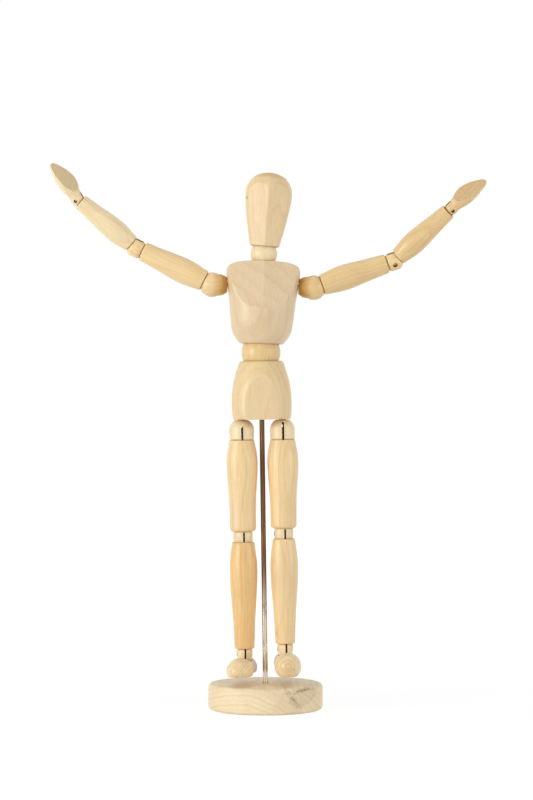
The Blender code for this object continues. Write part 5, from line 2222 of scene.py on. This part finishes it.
@dataclass(frozen=True)
class Studio:
    """The pale floor, the soft light and the camera; lengths in metres.

    Attributes:
        middle: The point that the lamps face.
        lamps: The soft lamps.
        ambient: Strength of the light from all round.
        floor_radius: Radius of the floor.
        floor_drop: How far the floor lies below the base, so that the two don't share a face.
        floor_colour: Colour of the floor.
        floor_roughness: Roughness of the floor.
        floor_specular: Strength of the floor's reflection.
        floor_white: Share of plain white in the floor by the figure, as the camera sees it.
        floor_fade: Distances from the figure between which the floor goes over into plain white.
        floor_glow: Strength of the floor's plain white.
        camera_spot: Where the camera stands; it looks level along +Y.
        focal_pixels: Focal length in pixels of the image.
        image_height: Height of the image in pixels.
        sensor: Length of the sensor's long side, in millimetres.
    """

    middle: tuple[float, float, float] = (0.0, 0.0, 0.18)
    lamps: tuple[Softbox, ...] = (
        Softbox("key", (-1.27, -0.8, 0.2), (0.7, 0.9), 16.3),
        Softbox("fill", (1.47, -0.85, 0.25), (0.9, 0.9), 11.0),
        Softbox("top", (-0.1, -0.2, 1.5), (1.0, 1.0), 3.2),
    )
    ambient: float = 0.39
    floor_radius: float = 2.5
    floor_drop: float = 0.0001
    floor_colour: Colour = (0.9, 0.9, 0.9, 1.0)
    floor_roughness: float = 0.8
    floor_specular: float = 0.2
    floor_white: float = 0.8
    floor_fade: Point = (0.12, 0.6)
    floor_glow: float = 1.1
    camera_spot: tuple[float, float, float] = (0.0006, -1.39, 0.1729)
    focal_pixels: float = 2482.0
    image_height: int = 800
    sensor: float = 36.0

    def build(self) -> None:
        """Set up the floor, the light and the camera."""
        self.build_floor()
        self.build_world()
        for lamp in self.lamps:
            self.hang_lamp(lamp)
        self.place_camera()
        bpy.context.scene.view_settings.view_transform = "Standard"

    def seen_directly(self, graph: Graph) -> NodeSocket:
        """1 for rays that show the surroundings: from the camera, a reflection or a clear body.

        Args:
            graph: The nodes of the surroundings.

        Returns:
            1 or 0.
        """
        path = graph.add("ShaderNodeLightPath").outputs
        shown = graph.math("MAXIMUM", path["Is Camera Ray"], path["Is Glossy Ray"])
        return graph.math("MAXIMUM", shown, path["Is Transmission Ray"])

    def build_floor(self) -> None:
        """Lay the pale floor, which keeps a soft shadow of the figure."""
        bm = bmesh.new()
        bmesh.ops.create_circle(bm, cap_ends=True, segments=TRUNK_FACETS, radius=self.floor_radius)
        moved(bm, (0, 0, CAD_BOX[0].z - self.floor_drop))
        floor = bpy.data.objects.new("floor", mesh_from(bm, "floor"))
        material, graph, shader = new_material("pale_floor")
        shader.inputs["Base Color"].default_value = self.floor_colour
        shader.inputs["Roughness"].default_value = self.floor_roughness
        shader.inputs["Specular IOR Level"].default_value = self.floor_specular
        white = graph.add("ShaderNodeEmission")
        white.inputs["Strength"].default_value = self.floor_glow
        blend = graph.add("ShaderNodeMixShader")
        distance = graph.vector("LENGTH", graph.add("ShaderNodeTexCoord").outputs["Object"])
        share = graph.ramp(distance, *self.floor_fade, self.floor_white, 1.0)
        graph.feed(blend.inputs["Fac"], graph.math("MULTIPLY", self.seen_directly(graph), share))
        graph.feed(blend.inputs[1], shader.outputs["BSDF"])
        graph.feed(blend.inputs[2], white.outputs["Emission"])
        surface = material.node_tree.nodes["Material Output"].inputs["Surface"]
        graph.feed(surface, blend.outputs["Shader"])
        floor.data.materials.append(material)
        bpy.context.scene.collection.objects.link(floor)

    def build_world(self) -> None:
        """Surround the figure with white, and light it softly from all round."""
        world = bpy.data.worlds.new("studio")
        world.use_nodes = True
        graph = Graph(world.node_tree)
        background = world.node_tree.nodes["Background"]
        background.inputs["Color"].default_value = (1.0, 1.0, 1.0, 1.0)
        strength = graph.ramp(self.seen_directly(graph), 0.0, 1.0, self.ambient, 1.0)
        graph.feed(background.inputs["Strength"], strength)
        bpy.context.scene.world = world

    def hang_lamp(self, lamp: Softbox) -> None:
        """Hang a soft lamp so that it faces the figure.

        Args:
            lamp: The lamp.
        """
        light = bpy.data.lights.new(lamp.name, "AREA")
        light.shape = "RECTANGLE"
        light.size, light.size_y = lamp.size
        light.energy = lamp.power
        item = bpy.data.objects.new(lamp.name, light)
        item.location = lamp.spot
        outwards = Vector(lamp.spot) - Vector(self.middle)
        item.rotation_euler = outwards.to_track_quat("Z", "Y").to_euler()
        bpy.context.scene.collection.objects.link(item)

    def place_camera(self) -> None:
        """Stand the camera level before the figure, as the photograph was taken."""
        camera = bpy.data.cameras.new("camera")
        camera.sensor_width = self.sensor
        camera.lens = self.focal_pixels / self.image_height * self.sensor
        item = bpy.data.objects.new("camera", camera)
        item.location = self.camera_spot
        item.rotation_euler = (math.radians(90.0), 0.0, 0.0)
        bpy.context.scene.collection.objects.link(item)
        bpy.context.scene.camera = item


def main() -> None:
    """Build the stand, the figure and the studio."""
    logging.basicConfig(level=logging.INFO, format="%(name)s %(message)s")
    shop = Workshop()
    stand = Stand(shop)
    stand.build()
    trunk = Trunk(shop, stand)
    trunk.build()
    for side in Side:
        Arm(shop, side, trunk).build()
        Leg(shop, side).build()
    Studio().build()


if __name__ == "__main__":
    main()
